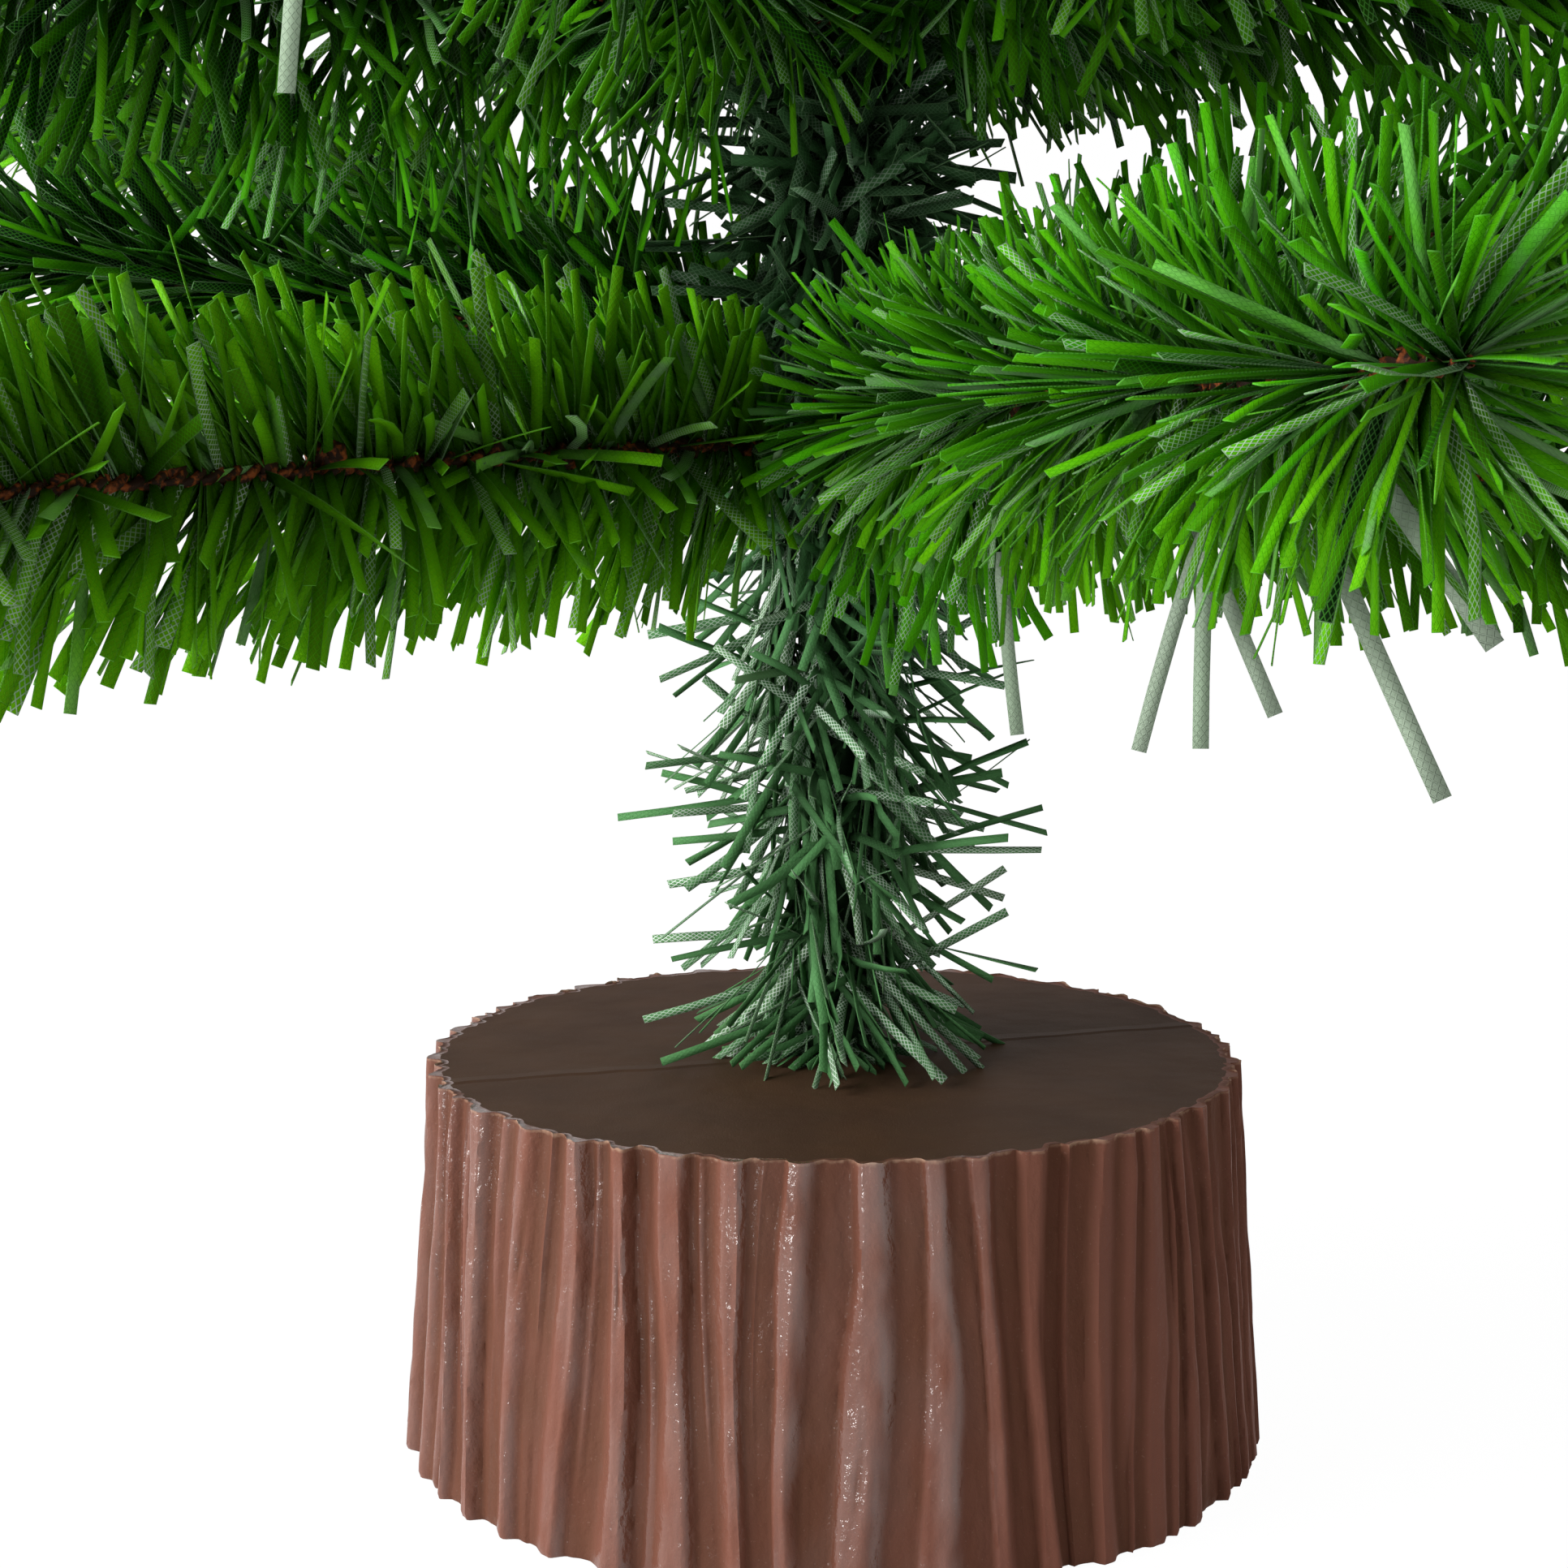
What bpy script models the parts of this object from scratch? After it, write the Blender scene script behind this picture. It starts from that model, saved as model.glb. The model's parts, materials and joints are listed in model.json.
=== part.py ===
"""Tabletop artificial Christmas tree on a fluted stump base.

Metres, +Z up. The origin is the middle of the underside, and -Y is the front.
A rod stands in a weighted, hollow plastic stump. A film wrap with needles sleeves the rod, each
tier's branch wires are wound round the wrap, and each branch bends up or down at its root. Film
needles sit round the trunk, the branches and the leader, in whorls fused to the wrap that holds them.
"""
import math

import bmesh
import bpy
from mathutils import Vector

# Whole tree
TREE_HEIGHT = 0.450
FIT_GAP = 0.0003

# Stump base
BASE_HEIGHT = 0.048
BASE_FOOT_RADIUS = 0.0534
BASE_TAPER = 0.0034
SHELL_WALL = 0.0020
FLUTE_DEPTH = 0.0017
FLUTE_COUNT = 44
FLUTE_LEVELS = 4
PLATE_THICKNESS = 0.0020
PLATE_CHAMFER = 0.0006
INNER_SIDES = 48

# Trunk rod
POLE_RADIUS = 0.0030
POLE_SIDES = 12
POLE_CHAMFER = 0.0004
LEADER_SOCKET_DEPTH = 0.010

# Tiers, from the lowest up
FIRST_TIER_HEIGHT = 0.128
TIER_SPACING = 0.046
TIER_COUNT = 5
LOWEST_BRANCH_LENGTH = 0.160
HIGHEST_BRANCH_LENGTH = 0.058
LOWEST_BRANCH_TILT = math.radians(3)
HIGHEST_BRANCH_TILT = math.radians(38)

# Root windings
WINDING_WIRE_RADIUS = 0.0009
WINDING_TURNS_BY_TIER = (5, 3, 3, 3, 3)
WINDING_SELF_GAP = 0.00045
WINDING_POINTS_PER_TURN = 8
GAP_TRIES = 8

# Branch and leader wires
WIRE_RADIUS = 0.0008
WIRE_SIDES = 6
ROOT_BALL_RADIUS = 0.0014
ROOT_BALL_STEPS = 4

# Needle wrap on a wire
WRAP_WALL = 0.0004
BRANCH_WRAP_START = 0.012
WRAP_TIP_MARGIN = 0.002

# Needle wrap on the trunk, under the root windings
TRUNK_WRAP_WALL = 0.0006

# Film needles
NEEDLE_LENGTH = 0.0165
NEEDLE_WIDTH = 0.0013
NEEDLE_ROOT_LENGTH = 0.0010
NEEDLE_LEAN = math.radians(60)
TRUNK_NEEDLE_LEAN = math.radians(36)
TRUNK_FOOT_LEAN = math.radians(76)
UPPER_TRUNK_FOOT_LEAN = math.radians(24)
UPPER_TRUNK_HEAD_LEAN = math.radians(46)
UPPER_TRUNK_LENGTH_SHARE = 0.75
LEADER_NEEDLE_LEAN = math.radians(42)
FIRST_WHORL_LENGTH_SHARE = 0.62
NEEDLE_LENGTH_SPREAD_SHARE = 0.10
TRUNK_WHORLS = 7
UPPER_TRUNK_WHORLS = 4
LEADER_WHORLS = 8
WHORLS_BY_TIER = (7, 5, 4, 4, 3)

# Across one flute: place along its width, then depth below its crest
FLUTE_PROFILE_SHARES = ((0.21, 1.0), (0.35, 0.0), (0.65, 0.0), (0.79, 1.0))
FLUTE_WIDTH_SPREAD_SHARE = 0.12
FLUTE_WANDER_SHARE = 0.20
FLUTE_DEPTH_SPREAD_SHARE = 0.25
FLUTE_WIDTH_WAVES = 13
FLUTE_WANDER_WAVES = 9
FLUTE_WANDER_TURN = 2.6

# Branches of each tier: azimuth from +X and tilt above the tier's own, both in degrees, then
# share of the tier's branch length and place along the root winding as a share of its turns
BRANCH_SHARES = (
    ((-118, -2.5, 0.97, 0.20), (-77, 0.5, 1.05, 0.45), (-46, 8.0, 0.96, 0.75), (-20, -6.0, 1.00, 0.15),
     (38, 2.0, 0.96, 0.60), (90, 0.0, 1.00, 0.40), (144, 14.0, 0.98, 0.90), (179, 5.0, 1.00, 0.85)),
    ((-153, -12.0, 1.02, 0.5), (-106, -5.0, 0.97, 0.3), (-64, -4.0, 1.00, 0.6), (5, -9.0, 1.00, 0.7),
     (60, -3.0, 0.97, 0.4), (115, -3.0, 1.00, 0.5)),
    ((-130, -5.0, 1.00, 0.6), (-36, -5.0, 0.97, 0.7), (48, -6.0, 1.00, 0.4), (134, -4.0, 0.98, 0.5)),
    ((-86, -3.0, 1.00, 0.5), (30, -1.0, 0.97, 0.7), (156, -3.0, 1.03, 0.4)),
    ((-28, 0.0, 1.00, 0.5), (92, 2.0, 0.96, 0.7), (-146, -2.0, 1.03, 0.4)),
)

BASE_BROWN = (0.162, 0.065, 0.044)
PLATE_BROWN = (0.120, 0.055, 0.040)
PLASTER_GREY = (0.560, 0.540, 0.500)
ROD_GREY = (0.180, 0.160, 0.150)
WIRE_BROWN = (0.150, 0.050, 0.022)
NEEDLE_GREEN = (0.035, 0.180, 0.022)
TRUNK_NEEDLE_GREEN = (0.030, 0.115, 0.050)

STUMP_ROUGHNESS = 0.42
PLATE_ROUGHNESS = 0.60
PLASTER_ROUGHNESS = 0.90
ROD_ROUGHNESS = 0.45
ROD_METALLIC = 0.6
WIRE_ROUGHNESS = 0.50
NEEDLE_ROUGHNESS = 0.38

SHARP_ANGLE = math.radians(35)


def clear_scene():
    """Empties the scene of objects."""
    for old in list(bpy.data.objects):
        bpy.data.objects.remove(old, do_unlink=True)


def make_material(name, colour, roughness, metallic=0.0):
    """One plain finish."""
    finish = bpy.data.materials.new(name)
    finish.use_nodes = True
    shader = finish.node_tree.nodes["Principled BSDF"]
    shader.inputs["Base Color"].default_value = (*colour, 1.0)
    shader.inputs["Roughness"].default_value = roughness
    shader.inputs["Metallic"].default_value = metallic
    return finish


def add_piece(name, bm, finish, smooth=True):
    """Turns a closed bmesh into a named object with one finish."""
    bmesh.ops.recalc_face_normals(bm, faces=bm.faces)
    mesh = bpy.data.meshes.new(name)
    bm.to_mesh(mesh)
    bm.free()
    mesh.materials.append(finish)
    if smooth:
        mesh.shade_smooth()
        mesh.set_sharp_from_angle(angle=SHARP_ANGLE)
    piece = bpy.data.objects.new(name, mesh)
    bpy.context.scene.collection.objects.link(piece)
    return piece


def flat_ring(bm, radius, height, sides):
    """Corners of a level ring round Z."""
    corners = []
    for index in range(sides):
        angle = math.tau * index / sides
        corners.append(bm.verts.new((radius * math.cos(angle), radius * math.sin(angle), height)))
    return corners


def upright_ring(bm, radius, along, sides):
    """Corners of a ring round X, with a flat side turned to +Z."""
    corners = []
    for index in range(sides):
        angle = math.tau * (index + 0.5) / sides
        corners.append(bm.verts.new((along, radius * math.sin(angle), radius * math.cos(angle))))
    return corners


def join_rings(bm, first, second):
    """Quads between two rings of the same count."""
    faces = []
    for index, corner in enumerate(first):
        after = (index + 1) % len(first)
        faces.append(bm.faces.new((corner, first[after], second[after], second[index])))
    return faces


def turn_of(vert):
    """Place of a corner round Z, from 0 to 1."""
    return (math.atan2(vert.co.y, vert.co.x) / math.tau) % 1.0


def fill_between(bm, outer, inner):
    """Triangles over the flat band between two rings round Z of unlike counts."""
    outer = sorted(outer, key=turn_of)
    inner = sorted(inner, key=turn_of)
    outer_turns = [turn_of(vert) for vert in outer] + [turn_of(outer[0]) + 1.0]
    inner_turns = [turn_of(vert) for vert in inner] + [turn_of(inner[0]) + 1.0]
    out_step = 0
    in_step = 0
    while out_step < len(outer) or in_step < len(inner):
        here = outer[out_step % len(outer)]
        there = inner[in_step % len(inner)]
        outer_is_next = in_step == len(inner) or (
            out_step < len(outer) and outer_turns[out_step + 1] <= inner_turns[in_step + 1])
        if outer_is_next:
            out_step += 1
            bm.faces.new((here, outer[out_step % len(outer)], there))
        else:
            in_step += 1
            bm.faces.new((here, inner[in_step % len(inner)], there))


def turned(bm, profile, sides, make_ring):
    """Solid of revolution. A profile point is a radius and a place along the axis; the first
    and last lie on the axis."""
    axis_point = {flat_ring: lambda place: (0, 0, place), upright_ring: lambda place: (place, 0, 0)}
    first_tip = bm.verts.new(axis_point[make_ring](profile[0][1]))
    last_tip = bm.verts.new(axis_point[make_ring](profile[-1][1]))
    rings = [make_ring(bm, radius, place, sides) for radius, place in profile[1:-1]]
    for lower, upper in zip(rings, rings[1:]):
        join_rings(bm, lower, upper)
    for tip, ring in ((first_tip, rings[0]), (last_tip, rings[-1])):
        for index, corner in enumerate(ring):
            bm.faces.new((tip, corner, ring[(index + 1) % sides]))


def crest_radius(height):
    """Outer radius of the stump over its flute crests."""
    return BASE_FOOT_RADIUS - BASE_TAPER * height / BASE_HEIGHT


def inner_radius(height):
    """Radius of the shell's smooth inside, one wall behind the deepest flute."""
    deepest = FLUTE_DEPTH * (1 + FLUTE_DEPTH_SPREAD_SHARE)
    return crest_radius(height) - deepest - SHELL_WALL


def flute_start(index, height):
    """Angle at which a flute begins, which wanders with the height."""
    around = math.tau * index / FLUTE_COUNT
    width_wave = FLUTE_WIDTH_SPREAD_SHARE * math.sin(FLUTE_WIDTH_WAVES * around)
    climb = FLUTE_WANDER_TURN * height / BASE_HEIGHT
    wander_wave = FLUTE_WANDER_SHARE * math.sin(FLUTE_WANDER_WAVES * around + climb)
    return (index + width_wave + wander_wave) * math.tau / FLUTE_COUNT


def fluted_ring(bm, height):
    """One level of the stump's outer wall."""
    corners = []
    for index in range(FLUTE_COUNT):
        start = flute_start(index, height)
        width = flute_start(index + 1, height) - start
        depth_wave = math.sin(FLUTE_WIDTH_WAVES * start + FLUTE_WANDER_TURN)
        depth = FLUTE_DEPTH * (1 + FLUTE_DEPTH_SPREAD_SHARE * depth_wave)
        for across_share, depth_share in FLUTE_PROFILE_SHARES:
            angle = start + width * across_share
            radius = crest_radius(height) - depth * depth_share
            corners.append(bm.verts.new((radius * math.cos(angle), radius * math.sin(angle), height)))
    return corners


def base_shell(finish):
    """Hollow fluted stump with a flat top and a hole for the rod."""
    bm = bmesh.new()
    levels = [BASE_HEIGHT * step / FLUTE_LEVELS for step in range(FLUTE_LEVELS + 1)]
    walls = [fluted_ring(bm, level) for level in levels]
    for lower, upper in zip(walls, walls[1:]):
        join_rings(bm, lower, upper)
    ceiling = BASE_HEIGHT - SHELL_WALL
    inside_foot = flat_ring(bm, inner_radius(0), 0, INNER_SIDES)
    inside_top = flat_ring(bm, inner_radius(ceiling), ceiling, INNER_SIDES)
    hole_radius = POLE_RADIUS + FIT_GAP
    hole_top = flat_ring(bm, hole_radius, BASE_HEIGHT, POLE_SIDES)
    hole_under = flat_ring(bm, hole_radius, ceiling, POLE_SIDES)
    fill_between(bm, walls[0], inside_foot)
    join_rings(bm, inside_foot, inside_top)
    fill_between(bm, inside_top, hole_under)
    join_rings(bm, hole_under, hole_top)
    fill_between(bm, walls[-1], hole_top)
    add_piece("base_shell", bm, finish)


def base_bottom_plate(finish):
    """Flat plate that closes the shell and rests on the table."""
    bm = bmesh.new()
    top = PLATE_THICKNESS
    edge = inner_radius(top) - FIT_GAP
    profile = [(0, 0), (edge - PLATE_CHAMFER, 0), (edge, PLATE_CHAMFER), (edge, top), (0, top)]
    turned(bm, profile, INNER_SIDES, flat_ring)
    add_piece("base_bottom_plate", bm, finish)


def base_ballast(finish):
    """Cast weight that fills the shell round the rod."""
    bm = bmesh.new()
    floor = PLATE_THICKNESS + FIT_GAP
    ceiling = BASE_HEIGHT - SHELL_WALL - FIT_GAP
    outer_floor = flat_ring(bm, inner_radius(floor) - FIT_GAP, floor, INNER_SIDES)
    outer_top = flat_ring(bm, inner_radius(ceiling) - FIT_GAP, ceiling, INNER_SIDES)
    bore_radius = POLE_RADIUS + FIT_GAP
    bore_floor = flat_ring(bm, bore_radius, floor, POLE_SIDES)
    bore_top = flat_ring(bm, bore_radius, ceiling, POLE_SIDES)
    join_rings(bm, outer_floor, outer_top)
    fill_between(bm, outer_top, bore_top)
    join_rings(bm, bore_top, bore_floor)
    fill_between(bm, outer_floor, bore_floor)
    add_piece("base_ballast", bm, finish)


def tier_height(tier):
    """Height of a tier's branch roots; tiers count from 0."""
    return FIRST_TIER_HEIGHT + TIER_SPACING * tier


def winding_rise():
    """Climb of the root winding in one turn."""
    return 2 * WINDING_WIRE_RADIUS + WINDING_SELF_GAP


def winding_foot(tier):
    """Height at which a root winding starts."""
    return tier_height(tier) - WINDING_TURNS_BY_TIER[tier] * winding_rise() / 2


def winding_half_height(tier):
    """Half of the height that one root winding takes on the rod."""
    return WINDING_TURNS_BY_TIER[tier] * winding_rise() / 2 + WINDING_WIRE_RADIUS


def winding_radius():
    """Radius of the winding's points, so that its chords clear the corners of the rod's wrap."""
    wrap_corner = (POLE_RADIUS + FIT_GAP + TRUNK_WRAP_WALL) / math.cos(math.pi / POLE_SIDES)
    clear = wrap_corner + FIT_GAP + WINDING_WIRE_RADIUS
    return clear / math.cos(math.pi / WINDING_POINTS_PER_TURN)


def bend_place(tier, azimuth, turns_share):
    """Where a branch leaves the winding: just outside it, level with the turn nearest its share."""
    step_angle = math.tau / WINDING_POINTS_PER_TURN
    off_chord = azimuth % step_angle - step_angle / 2
    winding_here = winding_radius() * math.cos(step_angle / 2) / math.cos(off_chord)
    radius = winding_here + WINDING_WIRE_RADIUS + FIT_GAP + ROOT_BALL_RADIUS
    turn = (azimuth / math.tau) % 1.0
    turns_up = turn + round(WINDING_TURNS_BY_TIER[tier] * turns_share - turn)
    return Vector((radius * math.cos(azimuth), radius * math.sin(azimuth),
                   winding_foot(tier) + winding_rise() * turns_up))


def pole_top():
    """Top of the rod, just above the last winding."""
    last = TIER_COUNT - 1
    return tier_height(last) + winding_half_height(last) + POLE_RADIUS


def trunk_pole(finish):
    """Rod from the plate to the last tier, with a socket for the leader in its top."""
    bm = bmesh.new()
    foot = PLATE_THICKNESS + FIT_GAP
    socket_radius = WIRE_RADIUS / math.cos(math.pi / WIRE_SIDES) + FIT_GAP
    socket_floor = pole_top() - LEADER_SOCKET_DEPTH
    profile = [
        (0, foot),
        (POLE_RADIUS - POLE_CHAMFER, foot),
        (POLE_RADIUS, foot + POLE_CHAMFER),
        (POLE_RADIUS, pole_top() - POLE_CHAMFER),
        (POLE_RADIUS - POLE_CHAMFER, pole_top()),
        (socket_radius, pole_top()),
        (socket_radius, socket_floor),
        (0, socket_floor),
    ]
    turned(bm, profile, POLE_SIDES, flat_ring)
    add_piece("trunk_pole", bm, finish)


def segment_gap(first, second):
    """Least distance between two straight stretches, by trying points along both."""
    tries = [step / GAP_TRIES for step in range(GAP_TRIES + 1)]
    start_a, end_a = first
    start_b, end_b = second
    return min((start_a.lerp(end_a, u) - start_b.lerp(end_b, v)).length for u in tries for v in tries)


def tier_winding(tier, finish):
    """Branch roots of one tier, wound round the rod as one unbroken wire."""
    steps = WINDING_TURNS_BY_TIER[tier] * WINDING_POINTS_PER_TURN
    points = []
    for step in range(steps + 1):
        angle = math.tau * step / WINDING_POINTS_PER_TURN
        height = winding_foot(tier) + winding_rise() * step / WINDING_POINTS_PER_TURN
        points.append(Vector((winding_radius() * math.cos(angle),
                              winding_radius() * math.sin(angle), height)))
    stretches = list(zip(points, points[1:]))
    gaps = [segment_gap(stretches[i], stretches[j]) - 2 * WINDING_WIRE_RADIUS
            for i in range(len(stretches)) for j in range(i + WINDING_POINTS_PER_TURN // 2, len(stretches))]
    print(f"tier_{tier + 1}_winding least gap to itself {min(gaps):.6f} m")

    curve = bpy.data.curves.new(f"tier_{tier + 1}_winding", "CURVE")
    curve.dimensions = "3D"
    curve.bevel_depth = WINDING_WIRE_RADIUS
    curve.bevel_resolution = 1
    curve.use_fill_caps = True
    spline = curve.splines.new("POLY")
    spline.points.add(len(points) - 1)
    for place, point in zip(spline.points, points):
        place.co = (*point, 1.0)
    curve.materials.append(finish)
    winding = bpy.data.objects.new(f"tier_{tier + 1}_winding", curve)
    bpy.context.scene.collection.objects.link(winding)


def wire_profile(length):
    """Half outline of a branch wire, from its round root to its tip."""
    neck = math.asin(WIRE_RADIUS / ROOT_BALL_RADIUS)
    profile = [(0, -ROOT_BALL_RADIUS)]
    for step in range(1, ROOT_BALL_STEPS + 1):
        angle = math.pi + (neck - math.pi) * step / ROOT_BALL_STEPS
        profile.append((ROOT_BALL_RADIUS * math.sin(angle), ROOT_BALL_RADIUS * math.cos(angle)))
    profile.append((WIRE_RADIUS, length - WIRE_RADIUS))
    profile.append((0, length))
    return profile


def draw_out_needle(bm, face, length, lean):
    """Draws the end face of a needle out to its place and pinches it to the film's cut edge."""
    root = face.calc_center_median()
    along = Vector((1, 0, 0))
    outward = Vector((0, root.y, root.z)).normalized()
    across = outward.cross(along)
    tip = root + (along * math.cos(lean) + outward * math.sin(lean)) * length
    pairs = {}
    for vert in face.verts:
        side = math.copysign(NEEDLE_WIDTH / 2, (vert.co - root).dot(across))
        vert.co = tip + across * side
        pairs.setdefault(side, []).append(vert)
    bmesh.ops.weld_verts(bm, targetmap={second: first for first, second in pairs.values()})


def even_whorls(start, end, count, lean_at, share_at, every=2):
    """Whorls spread evenly from start to end of a wrap: place, lean, length share and on which
    of the wrap's sides needles stand, such as every second one.

    lean_at and share_at give a whorl's lean from the axis and share of the needle length, from
    its place between 0 at the start and 1 at the end.
    """
    whorls = []
    for index in range(count):
        share = index / (count - 1)
        place = start + (end - NEEDLE_ROOT_LENGTH - start) * share
        whorls.append((place, lean_at(share), share_at(share), every))
    return whorls


def needle_wrap(name, start, end, bore, wall, sides, whorls, finish):
    """Wrap round X from start to end, with needles fused to it in whorls."""
    bm = bmesh.new()
    corner = 1 / math.cos(math.pi / sides)
    places = [start]
    root_bands = []
    for place, *_ in whorls:
        if place - places[-1] > FIT_GAP:
            places.append(place)
        root_bands.append(len(places) - 1)
        places.append(place + NEEDLE_ROOT_LENGTH)
    if end - places[-1] > FIT_GAP:
        places.append(end)
    rings = [upright_ring(bm, (bore + wall) * corner, place, sides) for place in places]
    bands = [join_rings(bm, ring, after) for ring, after in zip(rings, rings[1:])]
    bore_start = upright_ring(bm, bore * corner, places[0], sides)
    bore_end = upright_ring(bm, bore * corner, places[-1], sides)
    join_rings(bm, bore_start, bore_end)
    join_rings(bm, rings[0], bore_start)
    join_rings(bm, rings[-1], bore_end)
    bmesh.ops.recalc_face_normals(bm, faces=bm.faces)
    for turn, (band, (_, lean, share, every)) in enumerate(zip(root_bands, whorls)):
        roots = bands[band][turn % every::every]
        ends = bmesh.ops.extrude_discrete_faces(bm, faces=roots)["faces"]
        for index, face in enumerate(ends):
            spread = math.sin(turn + index * len(ends)) * NEEDLE_LENGTH_SPREAD_SHARE
            draw_out_needle(bm, face, NEEDLE_LENGTH * share * (1 + spread), lean)
    return add_piece(name, bm, finish, smooth=False)


def trunk_garland(finish):
    """Film wrap round the whole rod. Its needles hang under the lowest tier, where they splay on
    the stump's top, and are pressed upward in each gap between two tiers."""
    top = pole_top() - POLE_CHAMFER
    under_tiers = tier_height(0) - winding_half_height(0) - FIT_GAP
    rise = NEEDLE_ROOT_LENGTH + NEEDLE_LENGTH * math.cos(TRUNK_FOOT_LEAN)
    foot = BASE_HEIGHT + FIT_GAP + rise
    reach = NEEDLE_LENGTH * UPPER_TRUNK_LENGTH_SHARE * (1 + NEEDLE_LENGTH_SPREAD_SHARE)

    def upward_lean(place):
        return math.pi - UPPER_TRUNK_HEAD_LEAN + (UPPER_TRUNK_HEAD_LEAN - UPPER_TRUNK_FOOT_LEAN) * place

    def hanging_lean(place):
        return TRUNK_NEEDLE_LEAN + (TRUNK_FOOT_LEAN - TRUNK_NEEDLE_LEAN) * place ** 3

    whorls = []
    for tier in reversed(range(TIER_COUNT - 1)):
        lowest = tier_height(tier) + winding_half_height(tier) + FIT_GAP
        tips = tier_height(tier + 1) - winding_half_height(tier + 1) - FIT_GAP
        highest = tips - reach * math.cos(UPPER_TRUNK_HEAD_LEAN)
        whorls += even_whorls(top - highest, top - lowest, UPPER_TRUNK_WHORLS, upward_lean,
                              lambda place: UPPER_TRUNK_LENGTH_SHARE, every=4)
    whorls += even_whorls(top - under_tiers, top - foot, TRUNK_WHORLS, hanging_lean, lambda place: 1.0)
    garland = needle_wrap("trunk_garland", 0, top - foot, POLE_RADIUS + FIT_GAP, TRUNK_WRAP_WALL,
                          POLE_SIDES, whorls, finish)
    garland.location = (0, 0, top)
    garland.rotation_euler = (0, math.pi / 2, 0)


def leader(wire_finish, needle_finish):
    """Top of the tree: a straight wire in the rod's socket, with its needles."""
    foot = pole_top() - LEADER_SOCKET_DEPTH + FIT_GAP
    top = TREE_HEIGHT + WRAP_TIP_MARGIN - NEEDLE_LENGTH * math.cos(LEADER_NEEDLE_LEAN)
    wire = bmesh.new()
    profile = [(0, 0), (WIRE_RADIUS, 0), (WIRE_RADIUS, top - foot - WIRE_RADIUS), (0, top - foot)]
    turned(wire, profile, WIRE_SIDES, upright_ring)
    stem = add_piece("leader_stem", wire, wire_finish)
    start = pole_top() + FIT_GAP - foot
    end = top - foot - WRAP_TIP_MARGIN
    whorls = even_whorls(start, end, LEADER_WHORLS, lambda place: LEADER_NEEDLE_LEAN, lambda place: 1.0)
    needles = needle_wrap("leader_needles", start, end, WIRE_RADIUS + FIT_GAP, WRAP_WALL, WIRE_SIDES,
                          whorls, needle_finish)
    for piece in (stem, needles):
        piece.location = (0, 0, foot)
        piece.rotation_euler = (0, -math.pi / 2, 0)


def tier_share(tier):
    """Place of a tier between the lowest, 0, and the highest, 1."""
    return tier / (TIER_COUNT - 1)


def branch(tier, number, bend_at, turned_to, length, wire_finish, needle_finish):
    """One bendable branch: its wire and its needles under an empty on the bend."""
    name = f"branch_{tier + 1}_{number + 1}"
    bend = bpy.data.objects.new(f"{name}_bend", None)
    bpy.context.scene.collection.objects.link(bend)
    bend.location = bend_at
    bend.rotation_euler = turned_to
    bend.empty_display_size = ROOT_BALL_RADIUS

    wire = bmesh.new()
    turned(wire, wire_profile(length), WIRE_SIDES, upright_ring)
    stem = add_piece(f"{name}_wire", wire, wire_finish)

    def share_at(place):
        grown = min(1.0, place * (WHORLS_BY_TIER[tier] - 1))
        return FIRST_WHORL_LENGTH_SHARE + (1 - FIRST_WHORL_LENGTH_SHARE) * grown

    end = length - WRAP_TIP_MARGIN
    whorls = even_whorls(BRANCH_WRAP_START, end, WHORLS_BY_TIER[tier], lambda place: NEEDLE_LEAN, share_at)
    needles = needle_wrap(f"{name}_needles", BRANCH_WRAP_START, end, WIRE_RADIUS + FIT_GAP, WRAP_WALL,
                          WIRE_SIDES, whorls, needle_finish)
    for piece in (stem, needles):
        piece.parent = bend


def branches(wire_finish, needle_finish):
    """All branches, tier by tier, shorter and steeper toward the top."""
    for tier, places in enumerate(BRANCH_SHARES):
        share = tier_share(tier)
        tier_length = LOWEST_BRANCH_LENGTH + (HIGHEST_BRANCH_LENGTH - LOWEST_BRANCH_LENGTH) * share
        tier_tilt = LOWEST_BRANCH_TILT + (HIGHEST_BRANCH_TILT - LOWEST_BRANCH_TILT) * share
        for number, (degrees, extra_tilt, length_share, turns_share) in enumerate(places):
            azimuth = math.radians(degrees)
            tilt = tier_tilt + math.radians(extra_tilt)
            branch(tier, number, bend_place(tier, azimuth, turns_share), (0, -tilt, azimuth),
                   tier_length * length_share, wire_finish, needle_finish)


def main():
    clear_scene()
    stump = make_material("stump_brown", BASE_BROWN, STUMP_ROUGHNESS)
    plate = make_material("plate_brown", PLATE_BROWN, PLATE_ROUGHNESS)
    plaster = make_material("plaster", PLASTER_GREY, PLASTER_ROUGHNESS)
    rod = make_material("rod_steel", ROD_GREY, ROD_ROUGHNESS, ROD_METALLIC)
    wire = make_material("wire_brown", WIRE_BROWN, WIRE_ROUGHNESS)
    needle = make_material("needle_green", NEEDLE_GREEN, NEEDLE_ROUGHNESS)
    trunk_needle = make_material("trunk_needle_green", TRUNK_NEEDLE_GREEN, NEEDLE_ROUGHNESS)

    base_shell(stump)
    base_ballast(plaster)
    base_bottom_plate(plate)
    trunk_pole(rod)
    trunk_garland(trunk_needle)
    for tier in range(TIER_COUNT):
        tier_winding(tier, wire)
    leader(wire, needle)
    branches(wire, needle)


main()
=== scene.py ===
"""Tabletop artificial Christmas tree on a fluted stump: looks.

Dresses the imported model. Metres, +Z up, -Y is the front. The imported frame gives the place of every
branch, winding and wall, and the pieces made here are hung on it.
"""
import json
import math

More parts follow.
